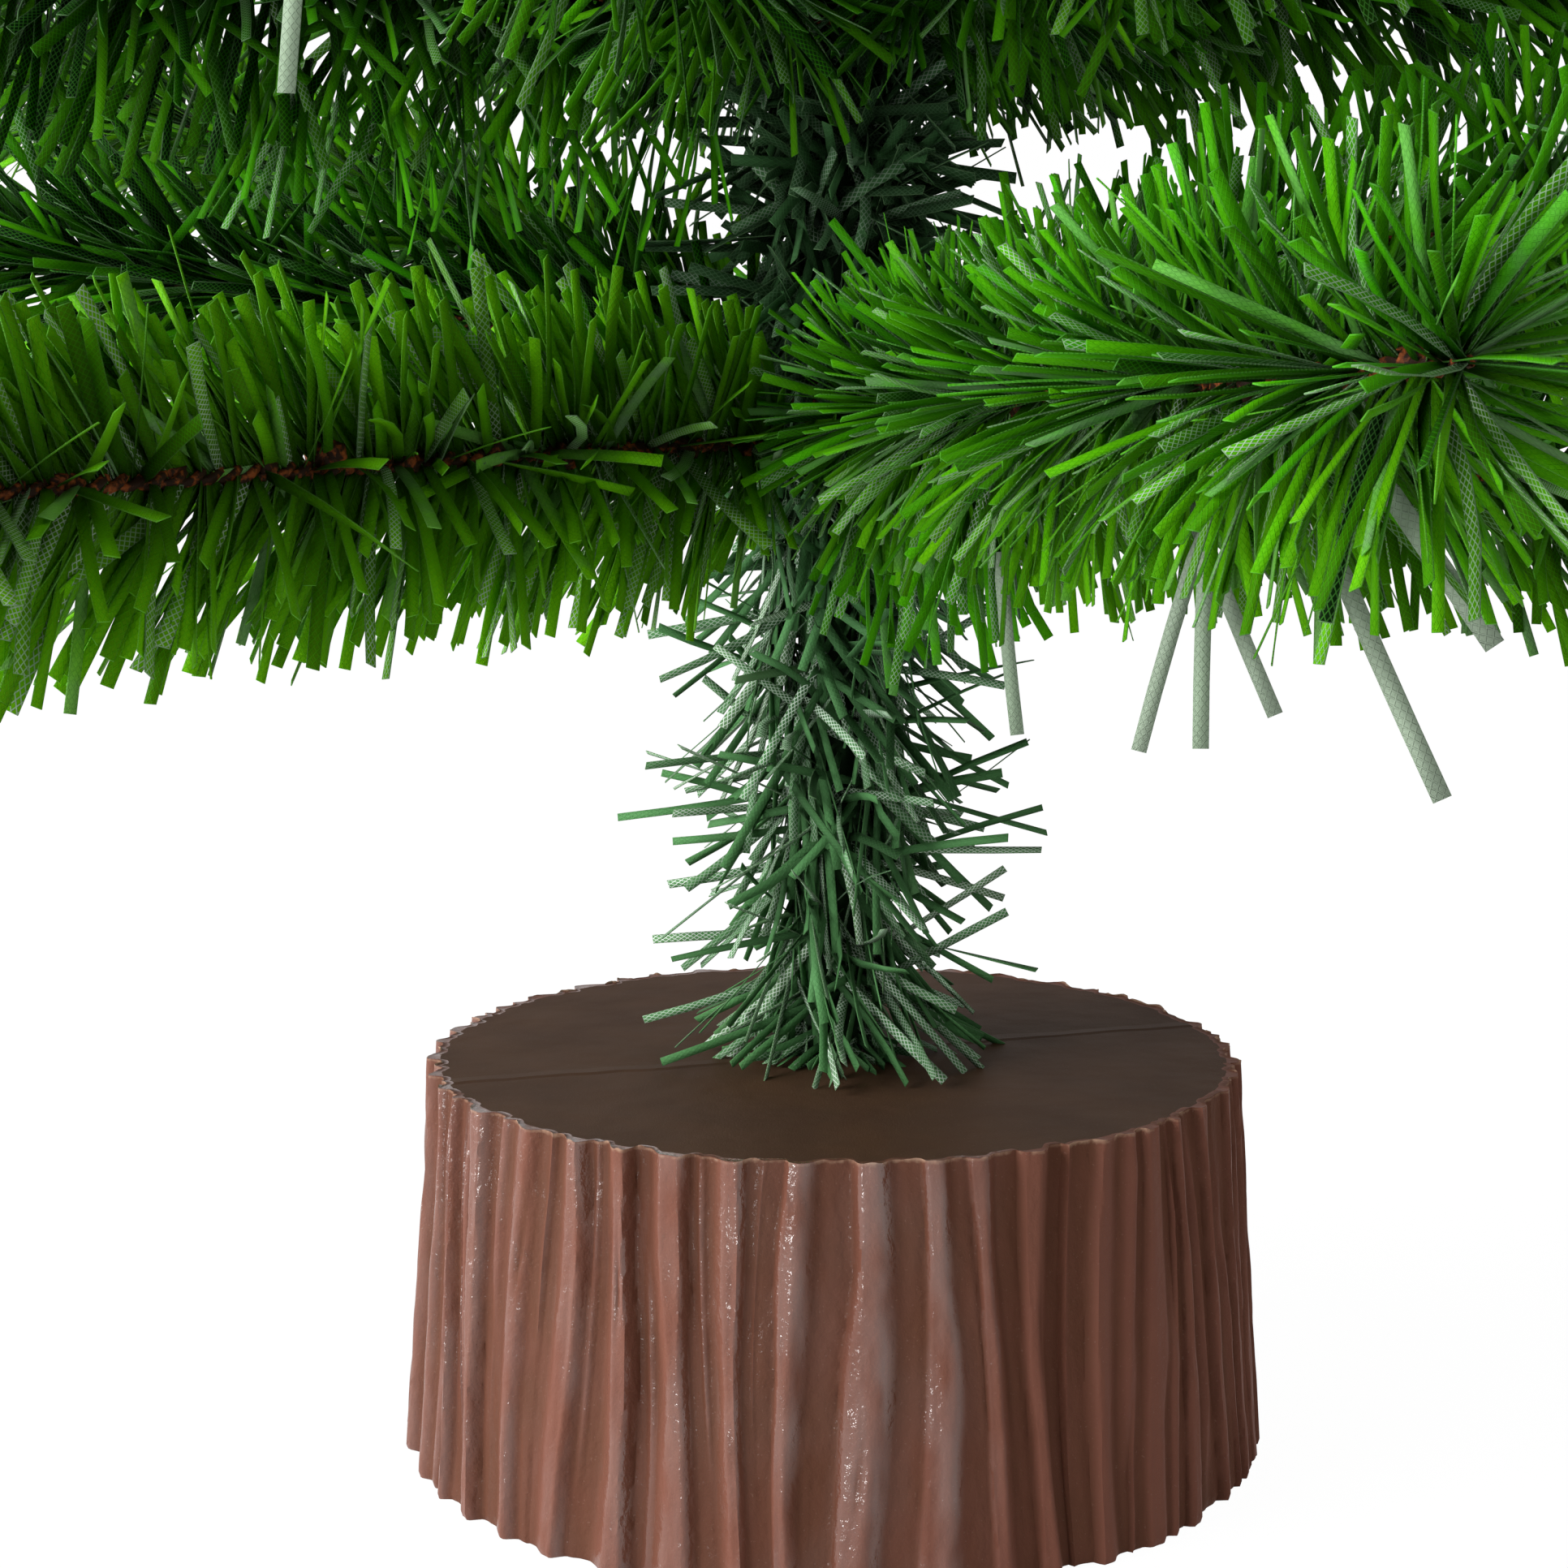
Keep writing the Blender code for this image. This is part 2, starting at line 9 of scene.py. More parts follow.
import bpy
import numpy as np
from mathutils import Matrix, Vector


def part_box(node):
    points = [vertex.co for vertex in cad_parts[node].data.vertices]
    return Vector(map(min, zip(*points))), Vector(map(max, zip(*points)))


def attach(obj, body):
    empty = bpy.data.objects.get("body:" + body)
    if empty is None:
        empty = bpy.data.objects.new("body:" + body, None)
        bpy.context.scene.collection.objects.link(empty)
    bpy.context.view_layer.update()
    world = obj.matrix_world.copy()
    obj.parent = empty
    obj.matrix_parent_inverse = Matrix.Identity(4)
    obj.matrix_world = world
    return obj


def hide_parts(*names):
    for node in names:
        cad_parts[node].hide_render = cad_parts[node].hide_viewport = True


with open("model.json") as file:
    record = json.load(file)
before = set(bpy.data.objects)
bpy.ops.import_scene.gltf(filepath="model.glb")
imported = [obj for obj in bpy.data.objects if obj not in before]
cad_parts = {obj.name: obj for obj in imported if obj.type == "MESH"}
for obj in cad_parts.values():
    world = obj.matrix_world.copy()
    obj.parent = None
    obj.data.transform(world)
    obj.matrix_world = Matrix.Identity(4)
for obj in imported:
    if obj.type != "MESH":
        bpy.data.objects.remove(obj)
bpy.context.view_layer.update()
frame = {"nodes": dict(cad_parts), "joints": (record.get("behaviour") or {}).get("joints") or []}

bl_info = {
    "name": "Tabletop Christmas Tree",
    "version": (1, 0, 0),
    "blender": (4, 5, 0),
    "location": "View3D > Sidebar > Christmas Tree",
    "description": "Dresses a tabletop artificial Christmas tree: stump, wires, film needles and stage",
    "category": "Object",
}

MM = 0.001
GOLDEN_TURN = math.pi * (3 - math.sqrt(5))
UP = np.array((0.0, 0.0, 1.0))
DOWN = np.array((0.0, 0.0, -1.0))

# Step along a wire's centre line, and the share of its radius that its closed ends keep
WIRE_STEP = 0.5 * MM
CLOSED_END_SHARE = 0.05

# Corners of a film strip in cross-section: side of its width, side of its thickness
STRIP_CORNERS = np.array(((1, 1), (-1, 1), (-1, -1), (1, -1)), float)
# Places along a strip, from root to tip, and the share of its width there
STRIP_PLACES = np.array((0.0, 0.14, 0.45, 0.74, 1.0))
STRIP_WIDTHS = np.array((0.55, 1.0, 1.0, 1.0, 1.0))
# Across values in the film map that mark the back of a strip and its cut edges
BACK_OFFSET = 10.0
EDGE_MARK = 5.0

# How far the map of the palest strip is shifted along from that of the darkest one, in millimetres
MAP_SHIFT_MM = 40

# Pitch of the film's embossed mesh across a strip, in millimetres, and how steep its diamonds are
MESH_PITCH_MM = 0.54
MESH_SLOPE = 0.72
# A strip's tone goes from 0, dark, to 1. Those above the common limit are of the palest, clear film
COMMON_TONE_LIMIT = 0.955
CLEAR_TONES = (0.96, 0.97)

# Colours of small marks and hidden pieces
PALEST_FILM = (0.32, 0.40, 0.30)
STUMP_CLOUDS = (0.160, 0.058, 0.040)
STUMP_SPECKS = (0.34, 0.22, 0.18)
MOULDING_FLASH = (0.40, 0.25, 0.17)
TOP_CLOUDS = (0.062, 0.036, 0.026)
TOP_SPECKS = (0.19, 0.13, 0.10)
# Painted shade in the hollows between the wraps of brown film on the wires
WIRE_HOLLOW_SHADE = (0.018, 0.008, 0.004)
ROD_SCRATCHES = (0.085, 0.075, 0.065)
PLASTERS = (0.50, 0.48, 0.44), (0.66, 0.64, 0.60)
PLATE_BROWNS = (0.100, 0.046, 0.033), (0.140, 0.066, 0.048)
FLOOR_WHITES = (0.80, 0.80, 0.80), (0.82, 0.82, 0.82)

# Loose pale needles: branch, millimetres from its tip and below its wire, length in millimetres,
# direction, tone and broadness
LOOSE_NEEDLES = (
    ("branch_1_2", 22, 11.5, 19.5, (0.39, -0.14, -0.91), 0.992, 1.15),
    ("branch_1_2", 14, 6.6, 14.0, (0.55, -0.13, -0.82), 0.985, 1.20),
    ("branch_1_2", 52, 8.3, 19.0, (0.36, -0.14, -0.92), 0.992, 1.05),
    ("branch_1_2", 46, 9.2, 19.0, (-0.06, -0.15, -0.98), 0.97, 1.05),
    ("branch_1_2", 47, 11.4, 18.0, (-0.31, -0.14, -0.94), 0.985, 1.00),
    ("branch_1_2", 104, 14.7, 17.5, (0.07, -0.15, -0.99), 0.97, 1.10),
    ("branch_2_2", 1, 5.0, 27.5, (-0.13, -0.14, -0.98), 0.97, 1.15),
)

# Habit of a branch: lean of its needles from the wire in degrees, their length at its root and at its
# tip, how far they are combed and flattened up and down, share that strays, warmth, tone and its spread,
# breadth and number of strips, and number of needles that droop near its root
HABIT = {"lean": 71, "length": 1.0, "tip_length": 1.0, "comb": 0.0, "flat": 1.0, "stray": 0.26,
         "warmth": 0.20, "tone": 0.26, "spread": 0.23, "broad": 0.94, "dense": 1.0, "droop": 0}
# Painted light and shade: branch tones are low on the branches at the back, where shade falls, and high on
# the sunlit front ones
HABITS = {
    "branch_1_1": {"lean": 52, "length": 1.09, "tip_length": 0.84, "comb": 0.46, "flat": 0.55,
                   "stray": 0.06, "warmth": 0.98, "tone": 0.63, "spread": 0.15, "broad": 1.0,
                   "dense": 1.18},
    "branch_1_2": {"length": 0.94, "tip_length": 0.90, "stray": 0.12, "warmth": 0.30, "tone": 0.56,
                   "broad": 0.74, "dense": 1.30, "droop": 60},
    "branch_1_3": {"length": 0.95, "tip_length": 0.92, "warmth": 0.25, "tone": 0.50, "broad": 0.82,
                   "dense": 1.15},
    "branch_1_4": {"warmth": 0.35, "tone": 0.50},
    "branch_1_7": {"lean": 47, "length": 1.06, "stray": 0.14, "warmth": 0.70, "tone": 0.22, "broad": 0.82,
                   "dense": 1.30},
    "branch_1_8": {"lean": 50, "length": 1.10, "stray": 0.30, "tone": 0.13, "broad": 0.90, "dense": 1.25},
    "branch_2_1": {"droop": 70},
}

# Number of the stump's flutes, of points across each and of levels up its wall
FLUTES = 44
FLUTE_COLUMNS = 24
WALL_LEVELS = 60

# Lamps: name, place in metres, side of the square and the setting with its power
LAMPS = (
    ("key_light", (-1.00, -0.62, 0.60), 0.7, "key_power"),
    ("side_light", (-1.10, -0.04, 0.12), 0.40, "side_power"),
    ("glint_light", (-0.55, -1.05, 0.04), 0.15, "glint_power"),
    ("fill_light", (0.95, -0.60, 0.55), 0.8, "fill_power"),
)
LAMP_AIM = (0, 0, 0.12)


# Settings

class StumpSettings(bpy.types.PropertyGroup):
    """Sizes and colours of the stump."""
    flute_depth: bpy.props.FloatProperty(
        name="Flute depth", description="Depth of a flute below its crest",
        default=1.7 * MM, min=0, unit="LENGTH")
    lip_height: bpy.props.FloatProperty(
        name="Rim flash", description="Height of the ragged moulding flash on the rim",
        default=0.22 * MM, min=0, unit="LENGTH")
    crease_angle: bpy.props.FloatProperty(
        name="Crease angle", description="Direction of the crease across the top",
        default=math.radians(18.8), subtype="ANGLE")
    side_colour: bpy.props.FloatVectorProperty(
        name="Side colour", description="Reddish brown of the fluted side",
        default=(0.184, 0.072, 0.048), subtype="COLOR", min=0, max=1)
    # Painted shade: a darker brown painted down in the flutes and cracks, where shade falls on the same
    # plastic as the side
    groove_shade_colour: bpy.props.FloatVectorProperty(
        name="Groove colour", description="Darker brown down in the flutes",
        default=(0.116, 0.046, 0.027), subtype="COLOR", min=0, max=1)
    top_colour: bpy.props.FloatVectorProperty(
        name="Top colour", description="Matte grey-brown of the top",
        default=(0.088, 0.045, 0.026), subtype="COLOR", min=0, max=1)


class FilmSettings(bpy.types.PropertyGroup):
    """Sizes, number and colours of the film needles."""
    needle_length: bpy.props.FloatProperty(
        name="Needle length", description="Length of a film needle",
        default=19.5 * MM, min=1 * MM, unit="LENGTH")
    needle_width: bpy.props.FloatProperty(
        name="Needle width", description="Width of a film needle",
        default=1.22 * MM, min=0.1 * MM, unit="LENGTH")
    film_thickness: bpy.props.FloatProperty(
        name="Film thickness", description="Thickness of the film",
        default=0.12 * MM, min=0.01 * MM, unit="LENGTH")
    needles_per_metre: bpy.props.IntProperty(
        name="Needles per metre", description="Needles on a metre of branch",
        default=6000, min=100)
    trunk_needles: bpy.props.IntProperty(
        name="Trunk needles", description="Needles on the bare trunk under the first tier",
        default=780, min=10)
    bright_colour: bpy.props.FloatVectorProperty(
        name="Bright green", description="Brightest film of the branches",
        default=(0.046, 0.330, 0.002), subtype="COLOR", min=0, max=1)
    # The deep green is partly the film's darkest shade and partly painted shade inside the foliage
    deep_colour: bpy.props.FloatVectorProperty(
        name="Deep green", description="Darkest film of the branches",
        default=(0.002, 0.013, 0.001), subtype="COLOR", min=0, max=1)
    # The olive is partly the film's own yellowish tint and partly painted light, on the sunlit front branch
    # and through needles that point down
    olive_colour: bpy.props.FloatVectorProperty(
        name="Olive green", description="Yellowish film of the sunlit front branch",
        default=(0.120, 0.385, 0.002), subtype="COLOR", min=0, max=1)
    # The grey-green stands partly for the film's paler back and partly for painted sheen on the film
    back_and_sheen_colour: bpy.props.FloatVectorProperty(
        name="Film back", description="Grey-green back of the film",
        default=(0.130, 0.240, 0.110), subtype="COLOR", min=0, max=1)
    trunk_colour: bpy.props.FloatVectorProperty(
        name="Trunk film", description="Bluish green film on the trunk",
        default=(0.052, 0.142, 0.050), subtype="COLOR", min=0, max=1)
    mesh_colour: bpy.props.FloatVectorProperty(
        name="Embossed mesh", description="Pale diamond mesh pressed into the film",
        default=(0.560, 0.660, 0.560), subtype="COLOR", min=0, max=1)


class WireSettings(bpy.types.PropertyGroup):
    """Sizes and colour of the wires."""
    strand_radius: bpy.props.FloatProperty(
        name="Strand radius", description="Radius of each of a branch's two twisted wires",
        default=0.46 * MM, min=0.1 * MM, unit="LENGTH")
    twist_pitch: bpy.props.FloatProperty(
        name="Twist pitch", description="Length of one full twist of the two wires",
        default=5.0 * MM, min=1 * MM, unit="LENGTH")
    wire_colour: bpy.props.FloatVectorProperty(
        name="Wire colour", description="Reddish-brown film on the wires",
        default=(0.250, 0.064, 0.016), subtype="COLOR", min=0, max=1)
    rod_colour: bpy.props.FloatVectorProperty(
        name="Rod colour", description="Dark paint of the trunk rod",
        default=(0.030, 0.028, 0.025), subtype="COLOR", min=0, max=1)


class StageSettings(bpy.types.PropertyGroup):
    """Camera and light."""
    camera_place: bpy.props.FloatVectorProperty(
        name="Camera place", description="Where the camera stands",
        default=(0.0, -0.36, 0.1388), subtype="TRANSLATION", unit="LENGTH")
    camera_pitch: bpy.props.FloatProperty(
        name="Camera pitch", description="How far the camera looks down",
        default=math.radians(9.02), subtype="ANGLE")
    camera_turn: bpy.props.FloatProperty(
        name="Camera turn", description="How far the camera turns to the left",
        default=math.radians(0.96), subtype="ANGLE")
    lens: bpy.props.FloatProperty(
        name="Lens", description="Focal length on a 36 mm sensor, in millimetres",
        default=68.4, min=10)
    key_power: bpy.props.FloatProperty(
        name="Key light", description="Power of the soft light from the upper left",
        default=13.0, min=0, unit="POWER")
    side_power: bpy.props.FloatProperty(
        name="Side light", description="Power of the low soft light from the left",
        default=9.0, min=0, unit="POWER")
    glint_power: bpy.props.FloatProperty(
        name="Glint light", description="Power of the small low light from the front left",
        default=2.8, min=0, unit="POWER")
    fill_power: bpy.props.FloatProperty(
        name="Fill light", description="Power of the soft light from the right",
        default=1.0, min=0, unit="POWER")
    sky_strength: bpy.props.FloatProperty(
        name="Room light", description="Strength of the even light of the room",
        default=0.38, min=0)


class TreeSettings(bpy.types.PropertyGroup):
    """All settings of the tree."""
    stump: bpy.props.PointerProperty(type=StumpSettings, name="Stump", description="The stump base")
    film: bpy.props.PointerProperty(type=FilmSettings, name="Film", description="The film needles")
    wire: bpy.props.PointerProperty(type=WireSettings, name="Wire", description="The wires and the rod")
    stage: bpy.props.PointerProperty(type=StageSettings, name="Stage", description="Camera and light")


# Materials

class Signal:
    """One output socket of a node. Arithmetic on it adds Math nodes."""

    def __init__(self, tree, socket):
        self.tree = tree
        self.socket = socket

    def other(self, name):
        """Another output of the same node."""
        return Signal(self.tree, self.socket.node.outputs[name])

    def math(self, operation, first, second=None):
        node = self.tree.nodes.new("ShaderNodeMath")
        node.operation = operation
        for place, term in enumerate((first, second)):
            if isinstance(term, Signal):
                self.tree.links.new(term.socket, node.inputs[place])
            elif term is not None:
                node.inputs[place].default_value = term
        return Signal(self.tree, node.outputs[0])

    def __add__(self, term):
        return self.math("ADD", self, term)

    def __radd__(self, term):
        return self.math("ADD", term, self)

    def __sub__(self, term):
        return self.math("SUBTRACT", self, term)

    def __rsub__(self, term):
        return self.math("SUBTRACT", term, self)

    def __mul__(self, term):
        return self.math("MULTIPLY", self, term)

    def __rmul__(self, term):
        return self.math("MULTIPLY", term, self)

    def __truediv__(self, term):
        return self.math("DIVIDE", self, term)

    def __rtruediv__(self, term):
        return self.math("DIVIDE", term, self)

    def __gt__(self, term):
        return self.math("GREATER_THAN", self, term)

    def __lt__(self, term):
        return self.math("LESS_THAN", self, term)

    def __abs__(self):
        return self.math("ABSOLUTE", self)


class Finish:
    """A procedural material, node by node."""

    def __init__(self, name, world=None):
        self.material = world or bpy.data.materials.new(name)
        self.material.use_nodes = True
        self.tree = self.material.node_tree
        self.tree.nodes.clear()

    def node(self, kind, settings=None, inputs=None, output=0):
        """Adds a node: its settings first, then the values or links of its sockets."""
        made = self.tree.nodes.new(kind)
        for key, value in (settings or {}).items():
            if key == "stops":
                self.set_stops(made.color_ramp, value)
            else:
                setattr(made, key, value)
        for key, value in (inputs or {}).items():
            if isinstance(value, Signal):
                self.tree.links.new(value.socket, made.inputs[key])
            else:
                made.inputs[key].default_value = value
        return Signal(self.tree, made.outputs[output]) if made.outputs else None

    def set_stops(self, ramp, stops):
        """Sets a ramp's stops: place and grey level or colour."""
        while len(ramp.elements) > 1:
            ramp.elements.remove(ramp.elements[-1])
        for index, (place, level) in enumerate(stops):
            stop = ramp.elements[0] if index == 0 else ramp.elements.new(place)
            stop.position = place
            stop.color = (level, level, level, 1) if isinstance(level, (int, float)) else (*level, 1)

    def place(self):
        """Coordinates on the piece, in millimetres."""
        metres = self.node("ShaderNodeTexCoord", output="Object")
        return self.node("ShaderNodeVectorMath", {"operation": "SCALE"}, {0: metres, "Scale": 1000.0})

    def stretched(self, place, shares):
        """Coordinates scaled by a share on each axis."""
        return self.node("ShaderNodeVectorMath", {"operation": "MULTIPLY"}, {0: place, 1: shares})

    def noise(self, place, size_mm, detail=3.0, roughness=0.5):
        """Soft noise with features of about this size."""
        return self.node("ShaderNodeTexNoise", None,
                         {"Vector": place, "Scale": 1 / size_mm, "Detail": detail, "Roughness": roughness})

    def ramp(self, value, stops):
        """A value or colour looked up along stops."""
        return self.node("ShaderNodeValToRGB", {"stops": stops}, {"Fac": value})

    def fade(self, value, none, full):
        """0 up to one value, 1 from another, and a slope between."""
        return self.ramp(value, ((none, 0.0), (full, 1.0)))

    def mix(self, share, first, second, blend="MIX"):
        """Blend of two colours."""
        colours = [(*c, 1.0) if isinstance(c, (tuple, list)) and len(c) == 3 else c for c in (first, second)]
        return self.node("ShaderNodeMix", {"data_type": "RGBA", "blend_type": blend},
                         {0: share, 6: colours[0], 7: colours[1]}, output=2)

    def value(self, name):
        """A number stored on the mesh."""
        return self.node("ShaderNodeAttribute", {"attribute_name": name}, output="Fac")

    def looked_at(self):
        """1 where the camera, a gloss or a glass looks, and 0 where light falls."""
        path = self.node("ShaderNodeLightPath", output="Is Camera Ray")
        return path + path.other("Is Glossy Ray") + path.other("Is Transmission Ray")

    def bump(self, height, depth_mm, normal=None):
        """A normal from a height map of this depth."""
        inputs = {"Height": height, "Strength": 1.0, "Distance": depth_mm * MM}
        if normal is not None:
            inputs["Normal"] = normal
        return self.node("ShaderNodeBump", None, inputs)

    def close(self, shader, output="ShaderNodeOutputMaterial"):
        """Ends the material with this shader."""
        self.node(output, None, {"Surface": shader})
        return self.material

    def surface(self, **sockets):
        """Closes the material with one Principled shader."""
        inputs = {key.replace("_", " "): value for key, value in sockets.items()}
        return self.close(self.node("ShaderNodeBsdfPrincipled", None, inputs))


def stump_side_finish(stump):
    """Moulded brown plastic: dull in the flutes and on the right, hammered and shiny on the crests."""
    f = Finish("stump_side")
    place = f.place()
    groove = f.value("groove")
    rim = f.value("rim")
    streaks = f.noise(f.stretched(place, (1.0, 1.0, 0.10)), 1.3, 4.0, 0.6)
    clouds = f.noise(place, 9.0, 2.0)
    # Painted shade: the groove share, broken by the streaks, darkens the side colour towards the groove
    # colour down in the flutes and cracks
    shade = f.ramp(groove + (streaks - 0.5) * 0.7, ((0.05, 0.0), (0.35, 0.35), (0.95, 1.0)))
    body = f.mix(shade, tuple(stump.side_colour), tuple(stump.groove_shade_colour))
    tint = f.mix(f.fade(clouds, 0.35, 0.7) * 0.35, body, STUMP_CLOUDS)
    speckled = f.mix(f.fade(f.noise(place, 0.35, 1.0), 0.70, 0.76) * 0.16, tint, STUMP_SPECKS)
    flash = f.fade(rim * (0.1 + f.noise(place, 0.9, 2.0) * 1.6), 0.30, 0.70) * 0.75
    colour = f.mix(flash, speckled, MOULDING_FLASH)
    hammered = f.noise(f.stretched(place, (1.0, 1.0, 0.8)), 1.1, 3.0, 0.6)
    dents = f.noise(f.stretched(place, (1.0, 1.0, 0.45)), 3.0, 2.0, 0.5)
    normal = f.bump(hammered, 0.17, f.bump(dents, 0.30))
    patches = f.noise(f.stretched(place, (1.0, 1.0, 0.35)), 4.5, 2.0, 0.5)
    # Share of gloss across the stump, from its left side at 0 to its right side at 1
    side = f.node("ShaderNodeSeparateXYZ", None, {0: place}, output="X")
    rubbed = f.ramp((side + 50.0) / 100.0, ((0.0, 0.75), (0.40, 0.85), (0.50, 1.0), (0.62, 0.9), (0.70, 0.0)))
    polish = (rubbed * f.ramp(patches, ((0.34, 0.08), (0.60, 1.0)))
              * f.ramp(groove, ((0.25, 1.0), (0.85, 0.15))))
    look = {"Base Color": colour, "Normal": normal}
    dull = f.node("ShaderNodeBsdfPrincipled", None,
                  {**look, "Roughness": 0.60 + groove * 0.12, "Specular IOR Level": 0.09})
    shiny = f.node("ShaderNodeBsdfPrincipled", None,
                   {**look, "Roughness": 0.08 + hammered * 0.15, "Specular IOR Level": 1.0})
    return f.close(f.node("ShaderNodeMixShader", None, {0: polish, 1: dull, 2: shiny}))


def stump_top_finish(stump):
    """Matte top with fine specks, a faint grain and a crease across it."""
    f = Finish("stump_top")
    place = f.place()
    angle = stump.crease_angle
    across = f.node("ShaderNodeVectorMath", {"operation": "DOT_PRODUCT"},
                    {0: place, 1: (-math.sin(angle), math.cos(angle), 0.0)}, output="Value")
    wander = (f.noise(place, 14.0, 2.0) - 0.5) * 4.0
    crease = f.ramp((across + wander) / 3.0 + 0.5, ((0.0, 0.0), (0.42, 1.0), (0.50, 0.72), (1.0, 0.0)))
    clouds = f.noise(place, 12.0, 3.0)
    base = f.mix(f.fade(clouds, 0.35, 0.68) * 0.45, tuple(stump.top_colour), TOP_CLOUDS)
    colour = f.mix(f.fade(f.noise(place, 0.32, 1.0), 0.68, 0.74) * 0.28, base, TOP_SPECKS)
    grain = f.bump(f.noise(place, 0.30, 3.0, 0.7), 0.05)
    swells = f.bump(f.noise(place, 8.0, 2.0), 0.35, grain)
    return f.surface(Base_Color=colour, Roughness=0.55 + clouds * 0.12, Normal=f.bump(crease, 0.30, swells),
                     Specular_IOR_Level=0.03)


def film_finish(name, tones, olive, pale, mesh_colour, mesh_share, mesh_lot, width_mm):
    """Embossed film strips: tones from strip to strip and a few pale ones. A pale diamond mesh is
    clear on a lot of the strips and faint on the rest."""
    f = Finish(name)
    tone = f.value("tone")
    map_place = f.node("ShaderNodeUVMap", {"uv_map": "film"})
    across = f.node("ShaderNodeSeparateXYZ", None, {0: map_place}, output="X")
    along = across.other("Y")
    is_back = across > (BACK_OFFSET + EDGE_MARK) / 2
    is_edge = abs(across - EDGE_MARK) < 1.0
    off_middle = abs(across - is_back * BACK_OFFSET - width_mm / 2)
    border = f.fade(off_middle / width_mm, 0.42, 0.47)
    rising = (across + along * MESH_SLOPE) / MESH_PITCH_MM
    falling = (across - along * MESH_SLOPE) / MESH_PITCH_MM + 100.0
    first, second = (f.node("ShaderNodeMath", {"operation": "FRACT"}, {0: line})
                     for line in (rising, falling))
    ridge = f.node("ShaderNodeMath", {"operation": "MAXIMUM"}, {0: abs(first - 0.5), 1: abs(second - 0.5)})
    mesh = f.fade(ridge, 0.34, 0.42)
    lot = f.node("ShaderNodeMath", {"operation": "FRACT"}, {0: tone * 37.0})
    clear = f.ramp(lot, ((mesh_lot, 1.0), (mesh_lot + 0.03, 0.0)))
    # Painted shade: each strip darkens towards its root, down to under a fifth of its colour, as shade near
    # the wire and the trunk
    reach = f.ramp(f.value("reach"), ((0.0, 0.18), (0.35, 0.55), (0.75, 1.0)))
    # Warmth mixes the greens towards olive: partly the branch's own tint, partly painted light through
    # downward needles and on the sunlit front branch
    strip = f.mix(f.value("warmth"), f.ramp(tone, tones), f.ramp(tone, olive))
    faint = f.mix(mesh * 0.22, strip, tones[-1][1])
    plain = f.mix(1.0, faint, reach, "MULTIPLY")
    drift = f.noise(f.place(), 5.0, 2.0)
    # Painted sheen: strips of the highest tones, most of all on their backs, are greyed towards the pale film
    # colour, partly the film's paler back and partly its sheen
    pale_back_and_sheen = f.fade(tone + (drift - 0.5) * 0.25, 0.88, 0.97)
    greyed = f.mix(pale_back_and_sheen * (0.50 + is_back * 0.35), plain, pale)
    faded = f.mix(f.fade(tone, *CLEAR_TONES), greyed, PALEST_FILM)
    shine = f.ramp(tone + (drift - 0.5) * 0.6, ((0.05, 0.03), (0.40, 0.35), (0.85, 1.0))) * 1.3
    meshed = f.mix(mesh * clear * shine * mesh_share, faded, mesh_colour)
    colour = f.mix((is_edge + border) * (0.10 + clear * 0.30), meshed, pale)
    return f.surface(Base_Color=colour, Roughness=0.36 + is_back * 0.10 + drift * 0.10,
                     Normal=f.bump(mesh, 0.05), Specular_IOR_Level=0.03)


def wire_finish(wire):
    """Reddish-brown film wound over the wire, with painted shade in the hollows between its wraps."""
    f = Finish("wire_film")
    wraps = f.noise(f.place(), 0.9, 3.0, 0.6)
    # Painted shade: where the wrap noise is high the film turns near black, as shade in the hollows between
    # the wraps
    colour = f.mix(f.fade(wraps, 0.34, 0.50), tuple(wire.wire_colour), WIRE_HOLLOW_SHADE)
    return f.surface(Base_Color=colour, Roughness=0.45 + wraps * 0.2, Normal=f.bump(wraps, 0.12),
                     Specular_IOR_Level=0.08)


def rod_finish(wire):
    """Dark painted steel with fine scratches along it."""
    f = Finish("rod_paint")
    lines = f.noise(f.stretched(f.place(), (1.0, 1.0, 0.05)), 0.5, 3.0, 0.6)
    colour = f.mix(f.fade(lines, 0.35, 0.75), tuple(wire.rod_colour), ROD_SCRATCHES)
    return f.surface(Base_Color=colour, Roughness=0.4 + lines * 0.2, Metallic=0.3, Normal=f.bump(lines, 0.03))


def plaster_finish():
    """Cast plaster with pores."""
    f = Finish("ballast_plaster")
    place = f.place()
    clouds = f.noise(place, 5.0, 4.0)
    pores = f.fade(f.noise(place, 0.8, 2.0), 0.28, 0.38)
    return f.surface(Base_Color=f.mix(clouds, *PLASTERS), Roughness=0.85 + clouds * 0.1,
                     Normal=f.bump(pores, 0.2))


def plate_finish():
    """Moulded brown plate with a fine grain."""
    f = Finish("bottom_plate_plastic")
    place = f.place()
    grain = f.noise(place, 0.5, 3.0, 0.6)
    clouds = f.noise(place, 10.0, 2.0)
    return f.surface(Base_Color=f.mix(clouds, *PLATE_BROWNS), Roughness=0.5 + grain * 0.2,
                     Normal=f.bump(grain, 0.06))


def shaded(colour, share):
    """A darker or lighter shade of a colour."""
    return tuple(min(1.0, level * share) for level in colour)


def branch_film(film):
    """The branches' film, made once."""
    deep, bright, olive = (tuple(c) for c in (film.deep_colour, film.bright_colour, film.olive_colour))
    greens = ((0.0, deep), (0.40, shaded(bright, 0.42)), (0.72, bright), (1.0, shaded(bright, 1.45)))
    olives = ((0.0, deep), (0.35, shaded(olive, 0.42)), (0.75, shaded(olive, 1.08)),
              (1.0, shaded(olive, 1.4)))
    return bpy.data.materials.get("branch_film") or film_finish(
        "branch_film", greens, olives, tuple(film.back_and_sheen_colour), tuple(film.mesh_colour),
        mesh_share=0.55, mesh_lot=0.16, width_mm=film.needle_width / MM)


